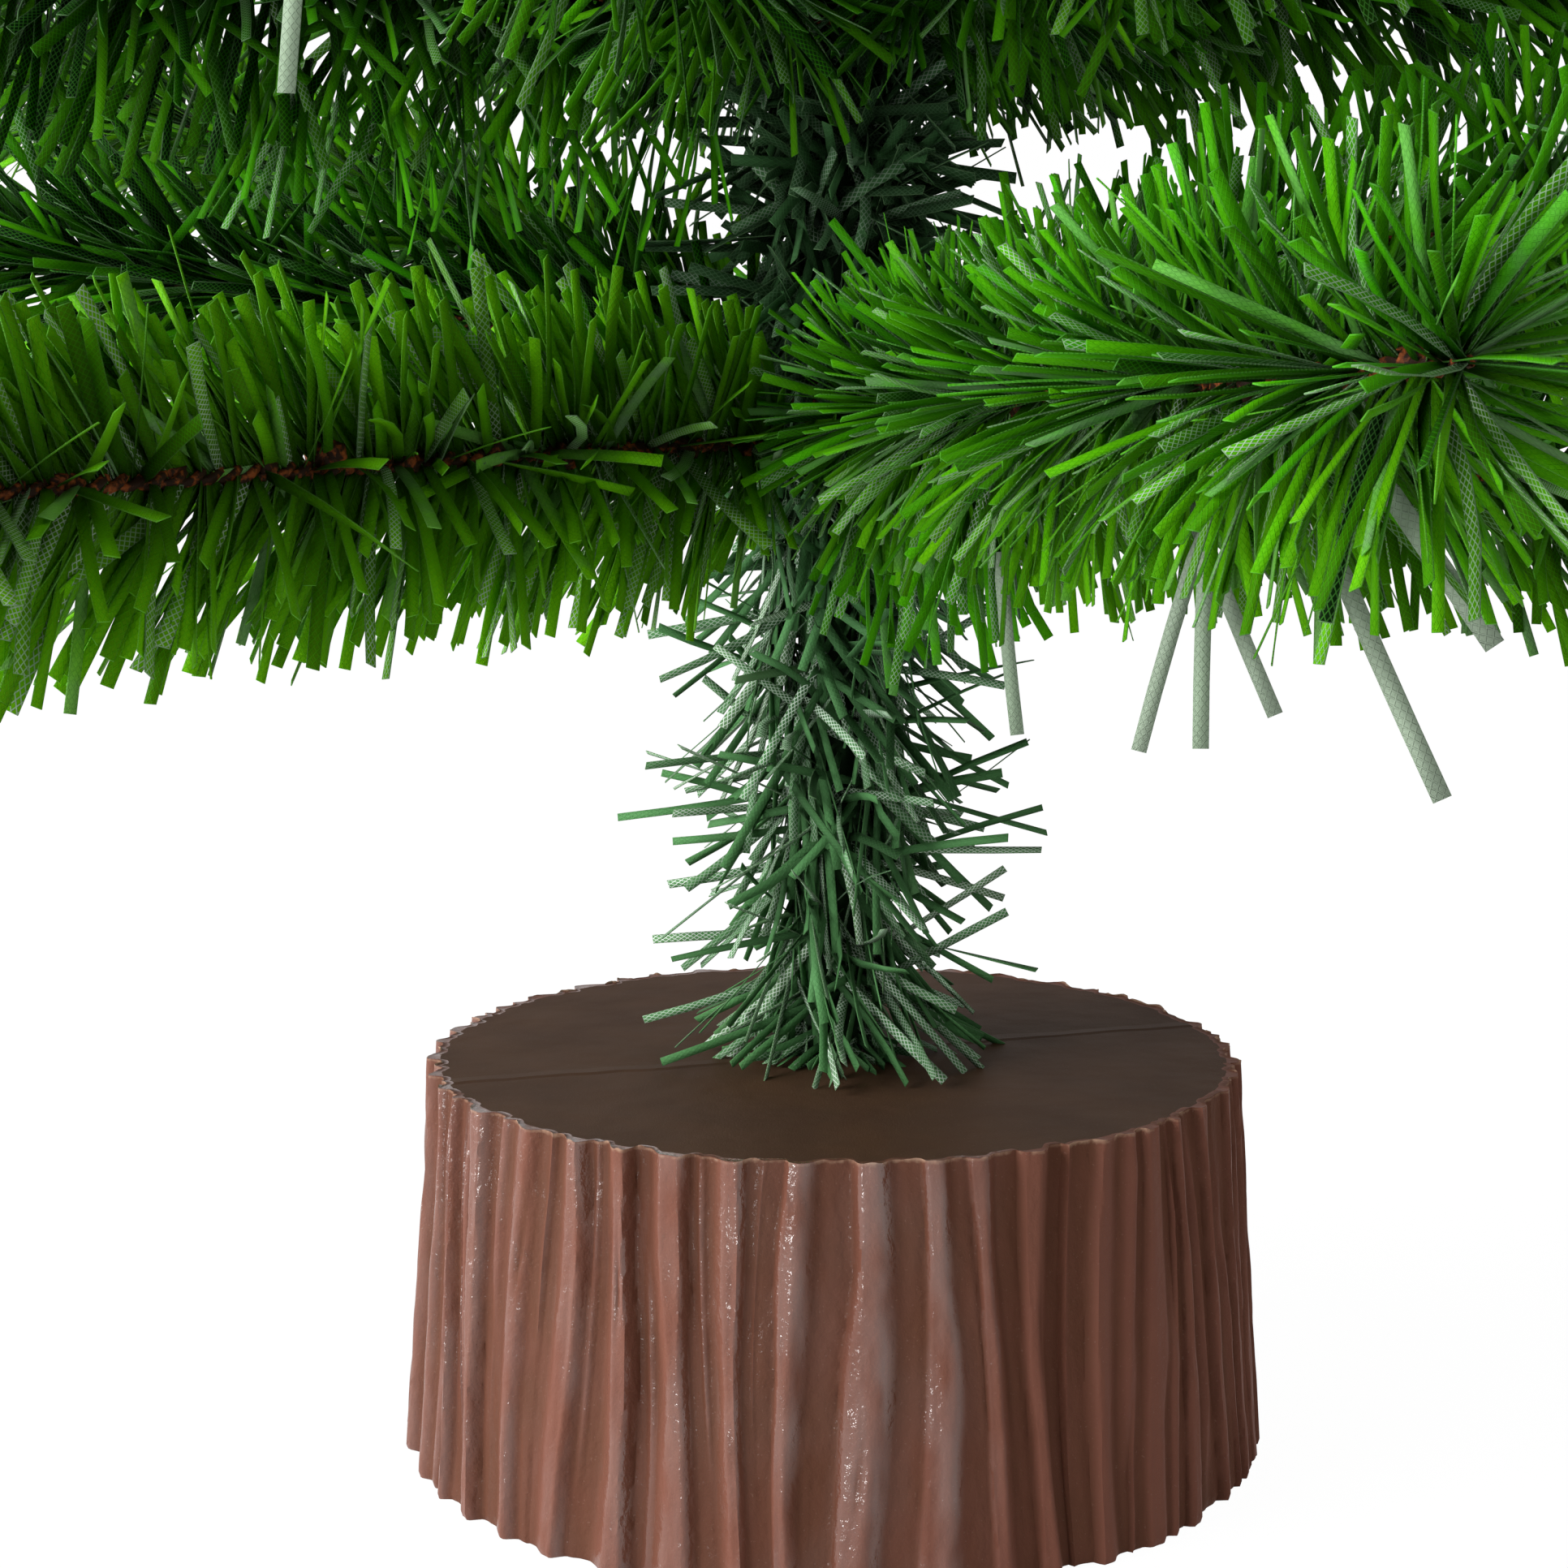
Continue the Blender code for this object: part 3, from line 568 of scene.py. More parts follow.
def trunk_film(film):
    """The trunk's film, made once."""
    base = tuple(film.trunk_colour)
    greens = ((0.0, shaded(base, 0.45)), (0.40, shaded(base, 1.30)), (0.8, shaded(base, 1.85)),
              (1.0, shaded(base, 2.00)))
    return bpy.data.materials.get("trunk_film") or film_finish(
        "trunk_film", greens, greens, tuple(film.back_and_sheen_colour), shaded(film.mesh_colour, 1.2),
        mesh_share=0.84, mesh_lot=0.40, width_mm=film.needle_width / MM)


# Meshes

def unit(vectors):
    """Vectors of length one."""
    return vectors / np.maximum(np.linalg.norm(vectors, axis=-1, keepdims=True), 1e-12)


def round_points(radius, angle, height):
    """Points at a radius and an angle round the trunk's axis, at a height."""
    return np.stack((radius * np.cos(angle), radius * np.sin(angle), height + 0 * angle), -1)


def ring_quads(rings, sides, closed=False):
    """Quads between closed rings of points, and from the last ring back to the first where closed."""
    here = np.arange(rings if closed else rings - 1)[:, None]
    there = (here + 1) % rings
    column = np.arange(sides)[None]
    after = (column + 1) % sides
    corners = (here * sides + column, here * sides + after, there * sides + after, there * sides + column)
    return np.stack(corners, -1).reshape(-1, 4)


def mesh_from(points, quads, values=None, film_map=None):
    """A mesh of quads with numbers on its points and, for film, its map in millimetres."""
    mesh = bpy.data.meshes.new("mesh")
    mesh.vertices.add(len(points))
    mesh.vertices.foreach_set("co", np.ascontiguousarray(points, np.float32).ravel())
    mesh.loops.add(quads.size)
    mesh.loops.foreach_set("vertex_index", np.ascontiguousarray(quads, np.int32).ravel())
    mesh.polygons.add(len(quads))
    mesh.polygons.foreach_set("loop_start", np.arange(0, quads.size, 4, dtype=np.int32))
    if film_map is not None:
        layer = mesh.uv_layers.new(name="film")
        layer.uv.foreach_set("vector", np.ascontiguousarray(film_map, np.float32).ravel())
    for name, numbers in (values or {}).items():
        attribute = mesh.attributes.new(name, "FLOAT", "POINT")
        attribute.data.foreach_set("value", np.ascontiguousarray(numbers, np.float32).ravel())
    mesh.update(calc_edges=True)
    mesh.validate()
    return mesh


def hang(name, mesh, materials, body, node):
    """Makes the piece that takes a node's place, gives it its finishes and hangs it on its body."""
    mesh.name = name
    for material in materials:
        mesh.materials.append(material)
    piece = bpy.data.objects.new(name, mesh)
    bpy.context.scene.collection.objects.link(piece)
    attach(piece, body)
    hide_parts(node)


class Strips:
    """Many film needles as closed thin strips in one mesh."""

    def __init__(self, film):
        self.film = film
        self.parts = []

    def add(self, roots, heads, acrosses, lengths, bends, twists, tones, warmth, broadness=1.0):
        """Adds strips from their roots, directions, width directions, lengths and bends."""
        places = STRIP_PLACES
        count, rings = len(roots), len(places)
        step = places[None, :, None]
        offsets = (heads[:, None] * step + bends[:, None] * step ** 2) * lengths[:, None, None]
        centres = roots[:, None] + offsets
        tangents = unit(heads[:, None] + 2 * bends[:, None] * step)
        sides = acrosses[:, None] - tangents * np.sum(acrosses[:, None] * tangents, axis=-1, keepdims=True)
        sides = unit(sides)
        faces = np.cross(tangents, sides)
        turn = (twists[:, None] * places[None])[..., None]
        sides, faces = (np.cos(turn) * sides + np.sin(turn) * faces,
                        np.cos(turn) * faces - np.sin(turn) * sides)
        widths = (self.film.needle_width * STRIP_WIDTHS[None, :, None, None] / 2
                  * np.broadcast_to(broadness, (count,))[:, None, None, None])
        half = self.film.film_thickness / 2
        corners = (centres[:, :, None]
                   + sides[:, :, None] * STRIP_CORNERS[None, None, :, :1] * widths
                   + faces[:, :, None] * STRIP_CORNERS[None, None, :, 1:] * half)
        points = corners.reshape(-1, 3)

        ring = (np.arange(count)[:, None] * rings + np.arange(rings)[None]) * 4
        here, there = ring[:, :-1], ring[:, 1:]
        walls = []
        maps = []
        width_mm = self.film.needle_width / MM
        along = (places[None] * lengths[:, None]) / MM + tones[:, None] * MAP_SHIFT_MM
        low, high = along[:, :-1], along[:, 1:]
        edge = (EDGE_MARK, EDGE_MARK)
        faces_across = ((width_mm, 0), edge, (BACK_OFFSET, BACK_OFFSET + width_mm), edge)
        for corner, (first, second) in enumerate(faces_across):
            after = (corner + 1) % 4
            walls.append(np.stack((here + corner, here + after, there + after, there + corner), axis=-1))
            places_across = np.zeros_like(low)
            maps.append(np.stack([np.stack((places_across + across, along_strip), -1) for across, along_strip
                                  in ((first, low), (second, low), (second, high), (first, high))], -2))
        root_caps = ring[:, 0, None] + np.array((3, 2, 1, 0))
        tip_caps = ring[:, -1, None] + np.array((0, 1, 2, 3))
        quads = np.concatenate([w.reshape(-1, 4) for w in walls] + [root_caps, tip_caps])
        cap_map = np.zeros((2 * count, 4, 2)) + EDGE_MARK
        film_map = np.concatenate([m.reshape(-1, 4, 2) for m in maps] + [cap_map])
        tone = np.repeat(tones, rings * 4)
        warm = np.repeat(np.broadcast_to(warmth, (count,)), rings * 4)
        # Share along each strip, from root to tip, which the film's finish uses to paint shade towards the
        # root
        reach = np.tile(np.repeat(places, 4), count)
        self.parts.append((points, quads, film_map, tone, warm, reach))

    def mesh(self):
        """All the strips as one mesh."""
        start = 0
        quads = []
        for points, faces, *_ in self.parts:
            quads.append(faces + start)
            start += len(points)
        points, film_map, *numbers = (np.concatenate([part[index] for part in self.parts])
                                      for index in (0, 2, 3, 4, 5))
        values = dict(zip(("tone", "warmth", "reach"), numbers))
        return mesh_from(points, np.concatenate(quads), values, film_map)


def tube(path, radius, sides):
    """Points and quads of a round wire along a path, with its ends drawn in to close it."""
    tangents = unit(np.gradient(path, axis=0))
    side = UP if abs(tangents[0][2]) < 0.9 else np.array((1.0, 0.0, 0.0))
    firsts = np.empty_like(path)
    for index, tangent in enumerate(tangents):
        side = unit(side - tangent * np.dot(side, tangent))
        firsts[index] = side
    seconds = np.cross(tangents, firsts)
    shares = np.full(len(path), 1.0)
    shares[0] = shares[-1] = CLOSED_END_SHARE
    turn = np.arange(sides) * math.tau / sides
    offsets = (firsts[:, None] * np.cos(turn)[None, :, None] + seconds[:, None] * np.sin(turn)[None, :, None])
    points = path[:, None] + offsets * radius * shares[:, None, None]
    return points.reshape(-1, 3), ring_quads(len(path), sides)


def tubes(paths, radii, sides):
    """Several round wires as one smooth mesh."""
    points, quads, start = [], [], 0
    for path, radius in zip(paths, radii):
        some, faces = tube(path, radius, sides)
        points.append(some)
        quads.append(faces + start)
        start += len(some)
    mesh = mesh_from(np.concatenate(points), np.concatenate(quads))
    mesh.shade_smooth()
    return mesh


def twisted_pair(line, reach, side, up, pitch, radius):
    """Centre lines of two wires twisted about a line."""
    turn = (reach / pitch * math.tau)[:, None]
    offset = (side * np.cos(turn) + up * np.sin(turn)) * radius
    return [line + offset, line - offset]


def soft_noise(around, up, cells_around, cells_up, rng):
    """Smooth noise from -1 to 1 over a wall: around from 0 to 1 and closed, up from 0 to 1."""
    table = rng.uniform(-1, 1, (cells_around, cells_up + 2))
    x = (around % 1.0) * cells_around
    y = np.clip(up, 0, 1) * cells_up
    x0, y0 = np.floor(x).astype(int), np.floor(y).astype(int)
    fx, fy = x - x0, y - y0
    fx, fy = fx * fx * (3 - 2 * fx), fy * fy * (3 - 2 * fy)
    x0, x1 = x0 % cells_around, (x0 + 1) % cells_around
    low = table[x0, y0] * (1 - fx) + table[x1, y0] * fx
    high = table[x0, y0 + 1] * (1 - fx) + table[x1, y0 + 1] * fx
    return low * (1 - fy) + high * fy


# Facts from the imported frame

class Branch:
    """Place, direction and length of one branch, from its joint and its wire."""
    sway_share = 0.009
    sway_turns = (0.8, 1.6)

    def __init__(self, joint):
        self.name = joint["child"]
        self.root = np.array(joint["pos_m"], float)
        wire = frame["nodes"][f"{self.name}_wire"]
        points = np.array([vert.co for vert in wire.data.vertices], float)
        away = points - self.root
        tip = away[np.argmax(np.linalg.norm(away, axis=1))]
        self.length = float(np.linalg.norm(tip))
        self.along = tip / self.length
        self.side = unit(np.cross(self.along, UP))
        self.up = np.cross(self.side, self.along)
        tier, number = map(int, self.name.split("_")[1:])
        self.seed = 100 * tier + number

    def centre(self, reach):
        """Points on the slightly wavy centre line."""
        rng = np.random.default_rng(self.seed + 7)
        sway, lift = rng.uniform(-1, 1, 2) * self.sway_share * self.length
        sway_turn, lift_turn = rng.uniform(*self.sway_turns, 2)
        share = reach / self.length
        easing = share ** 1.5
        sideways = sway * easing * np.cos(share * math.pi * sway_turn)
        upward = lift * easing * np.cos(share * math.pi * lift_turn)
        return (self.root + self.along * reach[:, None] + self.side * sideways[:, None]
                + self.up * upward[:, None])


BRANCHES = [Branch(joint) for joint in frame["joints"]]


# Lie of the needles

# Share of the strips on a wire that roll little, and the spread of their roll and of the others', in degrees
WIRE_ROLLS = (0.75, 24, 80)
KINK_CHANCE, KINK = 0.10, 3.2
BEND_SPREAD, SAG, TWIST_SPREAD = 0.05, 0.03, 0.4
# Shake of the turn from needle to needle on a wire, in radians
TURN_SHAKE = 0.7


def spaced(rng, count, start, end):
    """Places from start to end, one at random in each of as many equal steps."""
    return start + (end - start) * (np.arange(count) + rng.random(count)) / count


def golden_turns(rng, count, shake):
    """Angles that go round by the golden turn, each shaken a little."""
    return np.arange(count) * GOLDEN_TURN + rng.normal(0, shake, count)


def rolled(rng, heads, facing, usual_share, usual, wild):
    """Width directions of strips rolled about their heads, most by a usual spread and some by a wild one."""
    count = len(heads)
    spread = rng.normal(0, 1, count) * np.where(rng.random(count) < usual_share, usual, wild)
    rolls = np.radians(spread)[:, None]
    return facing * np.cos(rolls) + np.cross(heads, facing) * np.sin(rolls)


def needle_set(rng, count, lean, lean_spread, axis, radials):
    """Directions, width directions, bends and twists of needles round an axis."""
    leans = np.radians(rng.normal(lean, lean_spread, count))[:, None]
    heads = unit(axis * np.cos(leans) + radials * np.sin(leans))
    flat = unit(-axis * np.sin(leans) + radials * np.cos(leans))
    acrosses = rolled(rng, heads, flat, *WIRE_ROLLS)
    kinks = np.where(rng.random(count) < KINK_CHANCE, KINK, 1.0)[:, None]
    bends = rng.normal(0, BEND_SPREAD, (count, 3)) * kinks + DOWN * SAG
    twists = rng.normal(0, TWIST_SPREAD, count)
    return heads, acrosses, bends, twists


def tones_of(rng, count, middle=0.5, spread=0.23):
    """Tone of each strip, most in the middle and a few dark or pale."""
    return np.clip(rng.normal(middle, spread, count), 0.0, COMMON_TONE_LIMIT)


# The stump's wall

def rise(share):
    """Soft step from 0 to 1 round a share of 0."""
    eased = np.clip(share + 0.5, 0, 1)
    return eased * eased * (3 - 2 * eased)


class Flutes:
    """The flutes of the stump's wall, each drawn at random by its kind.

    Broad flutes stand across the front, flat ones on the right and narrow ones on the rest. A pair of
    numbers is a range to draw from, and of two pairs the second is for the flutes that the name leaves
    out. Three numbers are for flat, broad and narrow flutes. Edges, ribs and cracks lie at shares of a
    flute's width and start at shares of the wall's height.
    """
    first_broad, first_flat, last_flat, first_facing_right = 28, 37, 6, 32
    crisp_widths_facing_left = (0.12, 0.20), (0.06, 0.10)
    soft_widths_flat = (0.18, 0.30), (0.30, 0.44)
    left_edges_broad = (0.22, 0.34), (0.26, 0.40)
    right_edges_broad = (0.62, 0.76), (0.58, 0.70)
    left_wander, right_wander = 0.05, 0.07
    depth_shares = 0.62, 1.0, 0.82
    bead_heights, flat_bead_share, bead_width = (0.04 * MM, 0.18 * MM), 0.3, 0.045
    slopes_facing_left = (-0.45 * MM, -0.10 * MM), (-1.15 * MM, -0.85 * MM)
    slopes_not_broad = (-0.2 * MM, 0.2 * MM)
    crowns = 0.08 * MM, 0.46 * MM, 0.28 * MM
    crown_overrun = 0.10
    broad_rib_chance, rib_chance = 0.45, 0.9
    broad_rib_height, rib_heights = 0.38 * MM, (0.45 * MM, 1.05 * MM)
    broad_rib_width, rib_widths = 0.06, (0.08, 0.13)
    rib_places, rib_starts, rib_rise, rib_fade = (0.90, 1.10), (-0.4, 0.5), 1.0, 4
    crack_chance, crack_depth, broad_crack_share = 0.30, 0.75 * MM, 0.5
    crack_places, crack_starts = (0.35, 0.60), (0.0, 0.7)
    crack_rise, crack_width, crack_lean = 0.34, 0.05, 0.15
    crack_fades = 7, 5
    # Lumps of the plastic: their height and how many cells of noise go round and up the wall
    fine_lumps, fine_cells = 0.10 * MM, (150, 9)
    finest_lumps, finest_cells = 0.05 * MM, (420, 22)
    wrinkles = 0.10 * MM
    # How far lumps may stand proud of the crests, and the relief that reads as full crest or groove
    proud, full_rib, full_crack = 0.18 * MM, 0.6 * MM, 0.5 * MM
    # Waves in the flutes' width and depth: size and number round the stump, and how far they slant
    width_wave, width_waves = 0.12, 13
    wander_wave, wander_waves, slant = 0.20, 9, 2.6
    depth_wave = 0.25
    wrinkle_waves, wrinkle_slant, wrinkle_damping = 3, 5, 0.6
    # Where in a crest's soft edge its bead stands
    lip_share = 0.6

    def __init__(self, depth, height, foot_radius, top_radius, rng):
        self.depth = depth
        self.height = height
        self.foot_radius = foot_radius
        self.top_radius = top_radius
        self.flute = flute = np.repeat(np.arange(FLUTES), FLUTE_COLUMNS)
        self.across = np.tile(np.arange(FLUTE_COLUMNS) / FLUTE_COLUMNS, FLUTES)
        index = np.arange(FLUTES)
        broad = (index >= self.first_broad) & (index < self.first_flat)
        flat = (index >= self.first_flat) | (index <= self.last_flat)
        leftward = index < self.first_facing_right

        def drawn(kind, first, second):
            """A number for each flute, from the first range where it is of a kind, else from the second."""
            return np.where(kind, rng.uniform(*first, FLUTES), rng.uniform(*second, FLUTES))

        def by_kind(flat_number, broad_number, narrow_number):
            """A number for each flute, by its kind."""
            return np.where(flat, flat_number, np.where(broad, broad_number, narrow_number))[flute]

        crisp = drawn(leftward, *self.crisp_widths_facing_left)
        soft = drawn(flat, *self.soft_widths_flat)
        self.left_edge = drawn(broad, *self.left_edges_broad)[flute]
        self.right_edge = drawn(broad, *self.right_edges_broad)[flute]
        self.left_soft = np.where(leftward, soft, crisp)[flute]
        self.right_soft = np.where(leftward, crisp, soft)[flute]
        self.depth_share = by_kind(*self.depth_shares)
        beads = rng.uniform(*self.bead_heights, FLUTES)
        self.bead = (beads * np.where(flat, self.flat_bead_share, 1.0))[flute]
        broad_slope = drawn(leftward, *self.slopes_facing_left)
        self.slope = np.where(broad, broad_slope, rng.uniform(*self.slopes_not_broad, FLUTES))[flute]
        self.crown = by_kind(*self.crowns)
        self.has_rib = np.where(broad, rng.random(FLUTES) < self.broad_rib_chance,
                                rng.random(FLUTES) < self.rib_chance)[flute]
        heights = rng.uniform(*self.rib_heights, FLUTES)
        self.rib_height = np.where(broad, self.broad_rib_height, heights)[flute]
        widths = rng.uniform(*self.rib_widths, FLUTES)
        self.rib_width = np.where(broad, self.broad_rib_width, widths)[flute]
        self.rib_at = rng.uniform(*self.rib_places, FLUTES)[flute] % 1.0
        self.rib_from = rng.uniform(*self.rib_starts, FLUTES)[flute]
        cracked = np.where(rng.random(FLUTES) < self.crack_chance, self.crack_depth, 0.0)
        self.crack = (cracked * np.where(broad, self.broad_crack_share, 1.0))[flute]
        self.crack_at = rng.uniform(*self.crack_places, FLUTES)[flute]
        self.crack_from = rng.uniform(*self.crack_starts, FLUTES)[flute]
        self.leftward = leftward[flute]

    def start_of(self, index, z):
        """Angle at which a flute starts at one height: the flutes vary in width and wander."""
        around = math.tau * index / FLUTES
        wander = self.wander_wave * np.sin(self.wander_waves * around + self.slant * z / self.height)
        wave = self.width_wave * np.sin(self.width_waves * around) + wander
        return (index + wave) * math.tau / FLUTES

    def rib(self, up):
        """Height of the thin ribs down in the grooves."""
        apart = np.abs(self.across - self.rib_at)
        apart = np.minimum(apart, 1 - apart)
        window = (np.clip((up - self.rib_from) * self.rib_fade, 0, 1)
                  * np.clip((self.rib_from + self.rib_rise - up) * self.rib_fade, 0, 1))
        return self.has_rib * window * self.rib_height * np.exp(-(apart / self.rib_width) ** 2)

    def cracks(self, up):
        """Depth of the short slanting cracks in the crests."""
        fade_in, fade_out = self.crack_fades
        split = (np.clip((up - self.crack_from) * fade_in, 0, 1)
                 * np.clip((self.crack_from + self.crack_rise - up) * fade_out, 0, 1))
        middle = self.crack_at + (up - self.crack_from) * self.crack_lean
        return self.crack * split * np.exp(-((self.across - middle) / self.crack_width) ** 2)

    def wall(self, z):
        """Angles, radii and groove shares of the outer wall at one height."""
        start = self.start_of(self.flute, z)
        angles = start + (self.start_of(self.flute + 1, z) - start) * self.across
        up = np.full(len(angles), z / self.height)
        across = self.across

        def wandering(seed):
            """Soft noise with one course up the wall for each flute."""
            return soft_noise(self.flute / FLUTES, up, FLUTES, 4, np.random.default_rng(seed))

        left = self.left_edge + self.left_wander * wandering(5)
        right = self.right_edge + self.right_wander * wandering(6)
        ridge = rise((across - left) / self.left_soft) * (1 - rise((across - right) / self.right_soft))
        depth_wave = 1 + self.depth_wave * np.sin(self.width_waves * angles + self.slant)
        deep = self.depth * self.depth_share * depth_wave
        lip = np.where(self.leftward, right - self.right_soft * self.lip_share,
                       left + self.left_soft * self.lip_share)
        bead = self.bead * np.exp(-((across - lip) / self.bead_width) ** 2)
        tilt = self.slope * ridge * (right - across) * 2
        half_crest = (right - left) / 2 + self.crown_overrun
        bow = self.crown * ridge * ((across - (left + right) / 2) / half_crest) ** 2
        rib, crack = self.rib(up), self.cracks(up)
        around = angles / math.tau
        lumps = (soft_noise(around, up, *self.fine_cells, np.random.default_rng(3)) * self.fine_lumps
                 + soft_noise(around, up, *self.finest_cells, np.random.default_rng(4)) * self.finest_lumps)
        waves = np.sin(across * math.tau * self.wrinkle_waves + self.wrinkle_slant * up)
        wrinkles = self.wrinkles * waves * (1 - self.depth_share * self.wrinkle_damping)
        crest = self.foot_radius + (self.top_radius - self.foot_radius) * up
        radii = crest - (deep * (1 - ridge) + bow - bead - tilt - rib + crack + wrinkles) + lumps
        # The groove share also paints shade into the side's colour: full in the flutes and cracks, none on
        # the crests and ribs
        groove = np.clip(1 - ridge - rib / self.full_rib + crack / self.full_crack, 0, 1)
        return angles, np.minimum(radii, crest + self.proud), groove


# Operators

class TREE_OT_stump(bpy.types.Operator):
    """Make the fluted stump with its rim flash, matte top and chipped foot"""
    bl_idname = "christmas_tree.stump"
    bl_label = "Stump"
    taper = 3.4 * MM
    hole_radius = 3.3 * MM
    top_thickness = 2.0 * MM
    inside_gap, inside_flare = 4.0 * MM, 3.3 * MM
    top_edge_drop, foot_edge_inset = 0.10 * MM, 0.25 * MM
    # The ragged foot: its gap from the table, how ragged it is and how high its chips go
    foot_gap, foot_ragged, foot_chips = 0.10 * MM, 0.10 * MM, 1.3 * MM
    ragged_cells, chip_cells, burr_cells = 180, 60, 260
    chip_threshold, burr_threshold = 0.38, 0.15
    # The moulding flash on the rim, in shares of the lip's height, and how pale it is
    flash_width, burr_spread = 0.12 * MM, 0.05 * MM
    flash_least, flash_ragged, flash_burrs = 0.12, 0.25, 1.3
    flash_pale, flash_pale_burrs, flash_pale_ragged = 0.35, 0.9, 0.25
    edge_pale, inner_height_share, inner_pale_share = 0.5, 0.7, 0.3
    # Rings of the flat top, from the rim to the hole
    top_ring_shares = (0.985, 0.96, 0.90, 0.80, 0.62, 0.42, 0.22)
    sharp_angle = math.radians(50)

    def execute(self, context):
        stump = context.scene.christmas_tree.stump
        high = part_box("base_shell")[1]
        height, foot_radius = high.z, max(high.x, high.y)
        rng = np.random.default_rng(11)
        flutes = Flutes(stump.flute_depth, height, foot_radius, foot_radius - self.taper, rng)
        columns = FLUTES * FLUTE_COLUMNS
        even, zeros = np.arange(columns) / columns, np.zeros(columns)
        ragged = soft_noise(even, zeros, self.ragged_cells, 1, rng)
        chips = np.clip(soft_noise(even, zeros, self.chip_cells, 1, rng) - self.chip_threshold, 0, 1)
        foot_lift = self.foot_gap + self.foot_ragged * ragged + self.foot_chips * chips
        rows = []

        def add_row(radii, heights, groove=0.0, rim=0.0, is_top=0):
            """One ring of points at the last wall's angles, its numbers for the finishes, and 1 where the
            top's finish follows."""
            rows.append((round_points(radii, angles, heights), zeros + groove, zeros + rim, is_top))

        for level in range(WALL_LEVELS + 1):
            z = height * level / WALL_LEVELS
            angles, radii, groove = flutes.wall(z)
            if level == 0:
                add_row(radii - self.foot_edge_inset, z + np.maximum(foot_lift, 0), groove)
            elif level < WALL_LEVELS:
                add_row(radii, z, groove)
        add_row(radii, height - self.top_edge_drop, groove, self.edge_pale)

        burrs = np.clip(soft_noise(even, zeros, self.burr_cells, 1, rng) - self.burr_threshold, 0, 1)
        flash_shares = self.flash_least + self.flash_ragged * np.abs(ragged) + self.flash_burrs * burrs
        flash = flash_shares * stump.lip_height
        pale_shares = self.flash_pale + self.flash_pale_burrs * burrs + self.flash_pale_ragged * ragged
        pale = np.clip(pale_shares, 0, 1)
        inner = radii - 2 * self.flash_width
        add_row(radii + self.burr_spread * burrs, height + flash, groove, pale)
        add_row(radii - self.flash_width, height + flash * self.inner_height_share, groove, pale)
        add_row(inner, height, groove, pale * self.inner_pale_share)
        hole = self.hole_radius
        for share in self.top_ring_shares:
            wavy = hole + (np.minimum(inner, radii.mean()) - hole) * share
            plain = hole + (radii.mean() - hole) * share
            add_row(wavy * share + plain * (1 - share), height, is_top=1)
        add_row(hole, height, is_top=1)
        inside = foot_radius - self.taper - self.inside_gap
        add_row(hole, height - self.top_thickness)
        add_row(inside, height - self.top_thickness)
        add_row(inside + self.inside_flare, 0.0)

        points, grooves, rims, tops = zip(*rows)
        values = {"groove": np.concatenate(grooves), "rim": np.concatenate(rims)}
        mesh = mesh_from(np.concatenate(points), ring_quads(len(rows), columns, closed=True), values)
        mesh.shade_smooth()
        mesh.polygons.foreach_set("material_index", np.repeat(np.array(tops, np.int32), columns))
        mesh.set_sharp_from_angle(angle=self.sharp_angle)
        hang("stump_shell", mesh, (stump_side_finish(stump), stump_top_finish(stump)),
             "trunk", "base_shell")
        return {"FINISHED"}


class TREE_OT_rod_and_weight(bpy.types.Operator):
    """Finish the rod, the cast weight and the bottom plate"""
    bl_idname = "christmas_tree.rod_and_weight"
    bl_label = "Rod and weight"

    def execute(self, context):
        wire = context.scene.christmas_tree.wire
        for node, material in (("trunk_pole", rod_finish(wire)), ("base_ballast", plaster_finish()),
                               ("base_bottom_plate", plate_finish())):
            solid = frame["nodes"][node]
            solid.data.materials.clear()
            solid.data.materials.append(material)
        return {"FINISHED"}


class TREE_OT_windings(bpy.types.Operator):
    """Wind the branch roots round the rod, tier by tier"""
    bl_idname = "christmas_tree.windings"
    bl_label = "Root windings"
    radius = 0.9 * MM
    rise = 2.25 * MM
    clearance = 0.10 * MM
    steps_per_turn = 24

    def execute(self, context):
        material = wire_finish(context.scene.christmas_tree.wire)
        for tier in range(1, 6):
            node = f"tier_{tier}_winding"
            low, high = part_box(node)
            turns = (high.z - low.z - 2 * self.radius) / self.rise
            share = np.linspace(0, 1, int(round(turns * self.steps_per_turn)) + 1)
            reach = (high.x - low.x) / 2 - self.radius - self.clearance
            heights = low.z + self.radius + share * turns * self.rise
            path = round_points(reach, share * turns * math.tau, heights)
            hang(f"root_winding_{tier}", tubes([path], [self.radius], 10), [material],
                 "trunk", node)
        return {"FINISHED"}


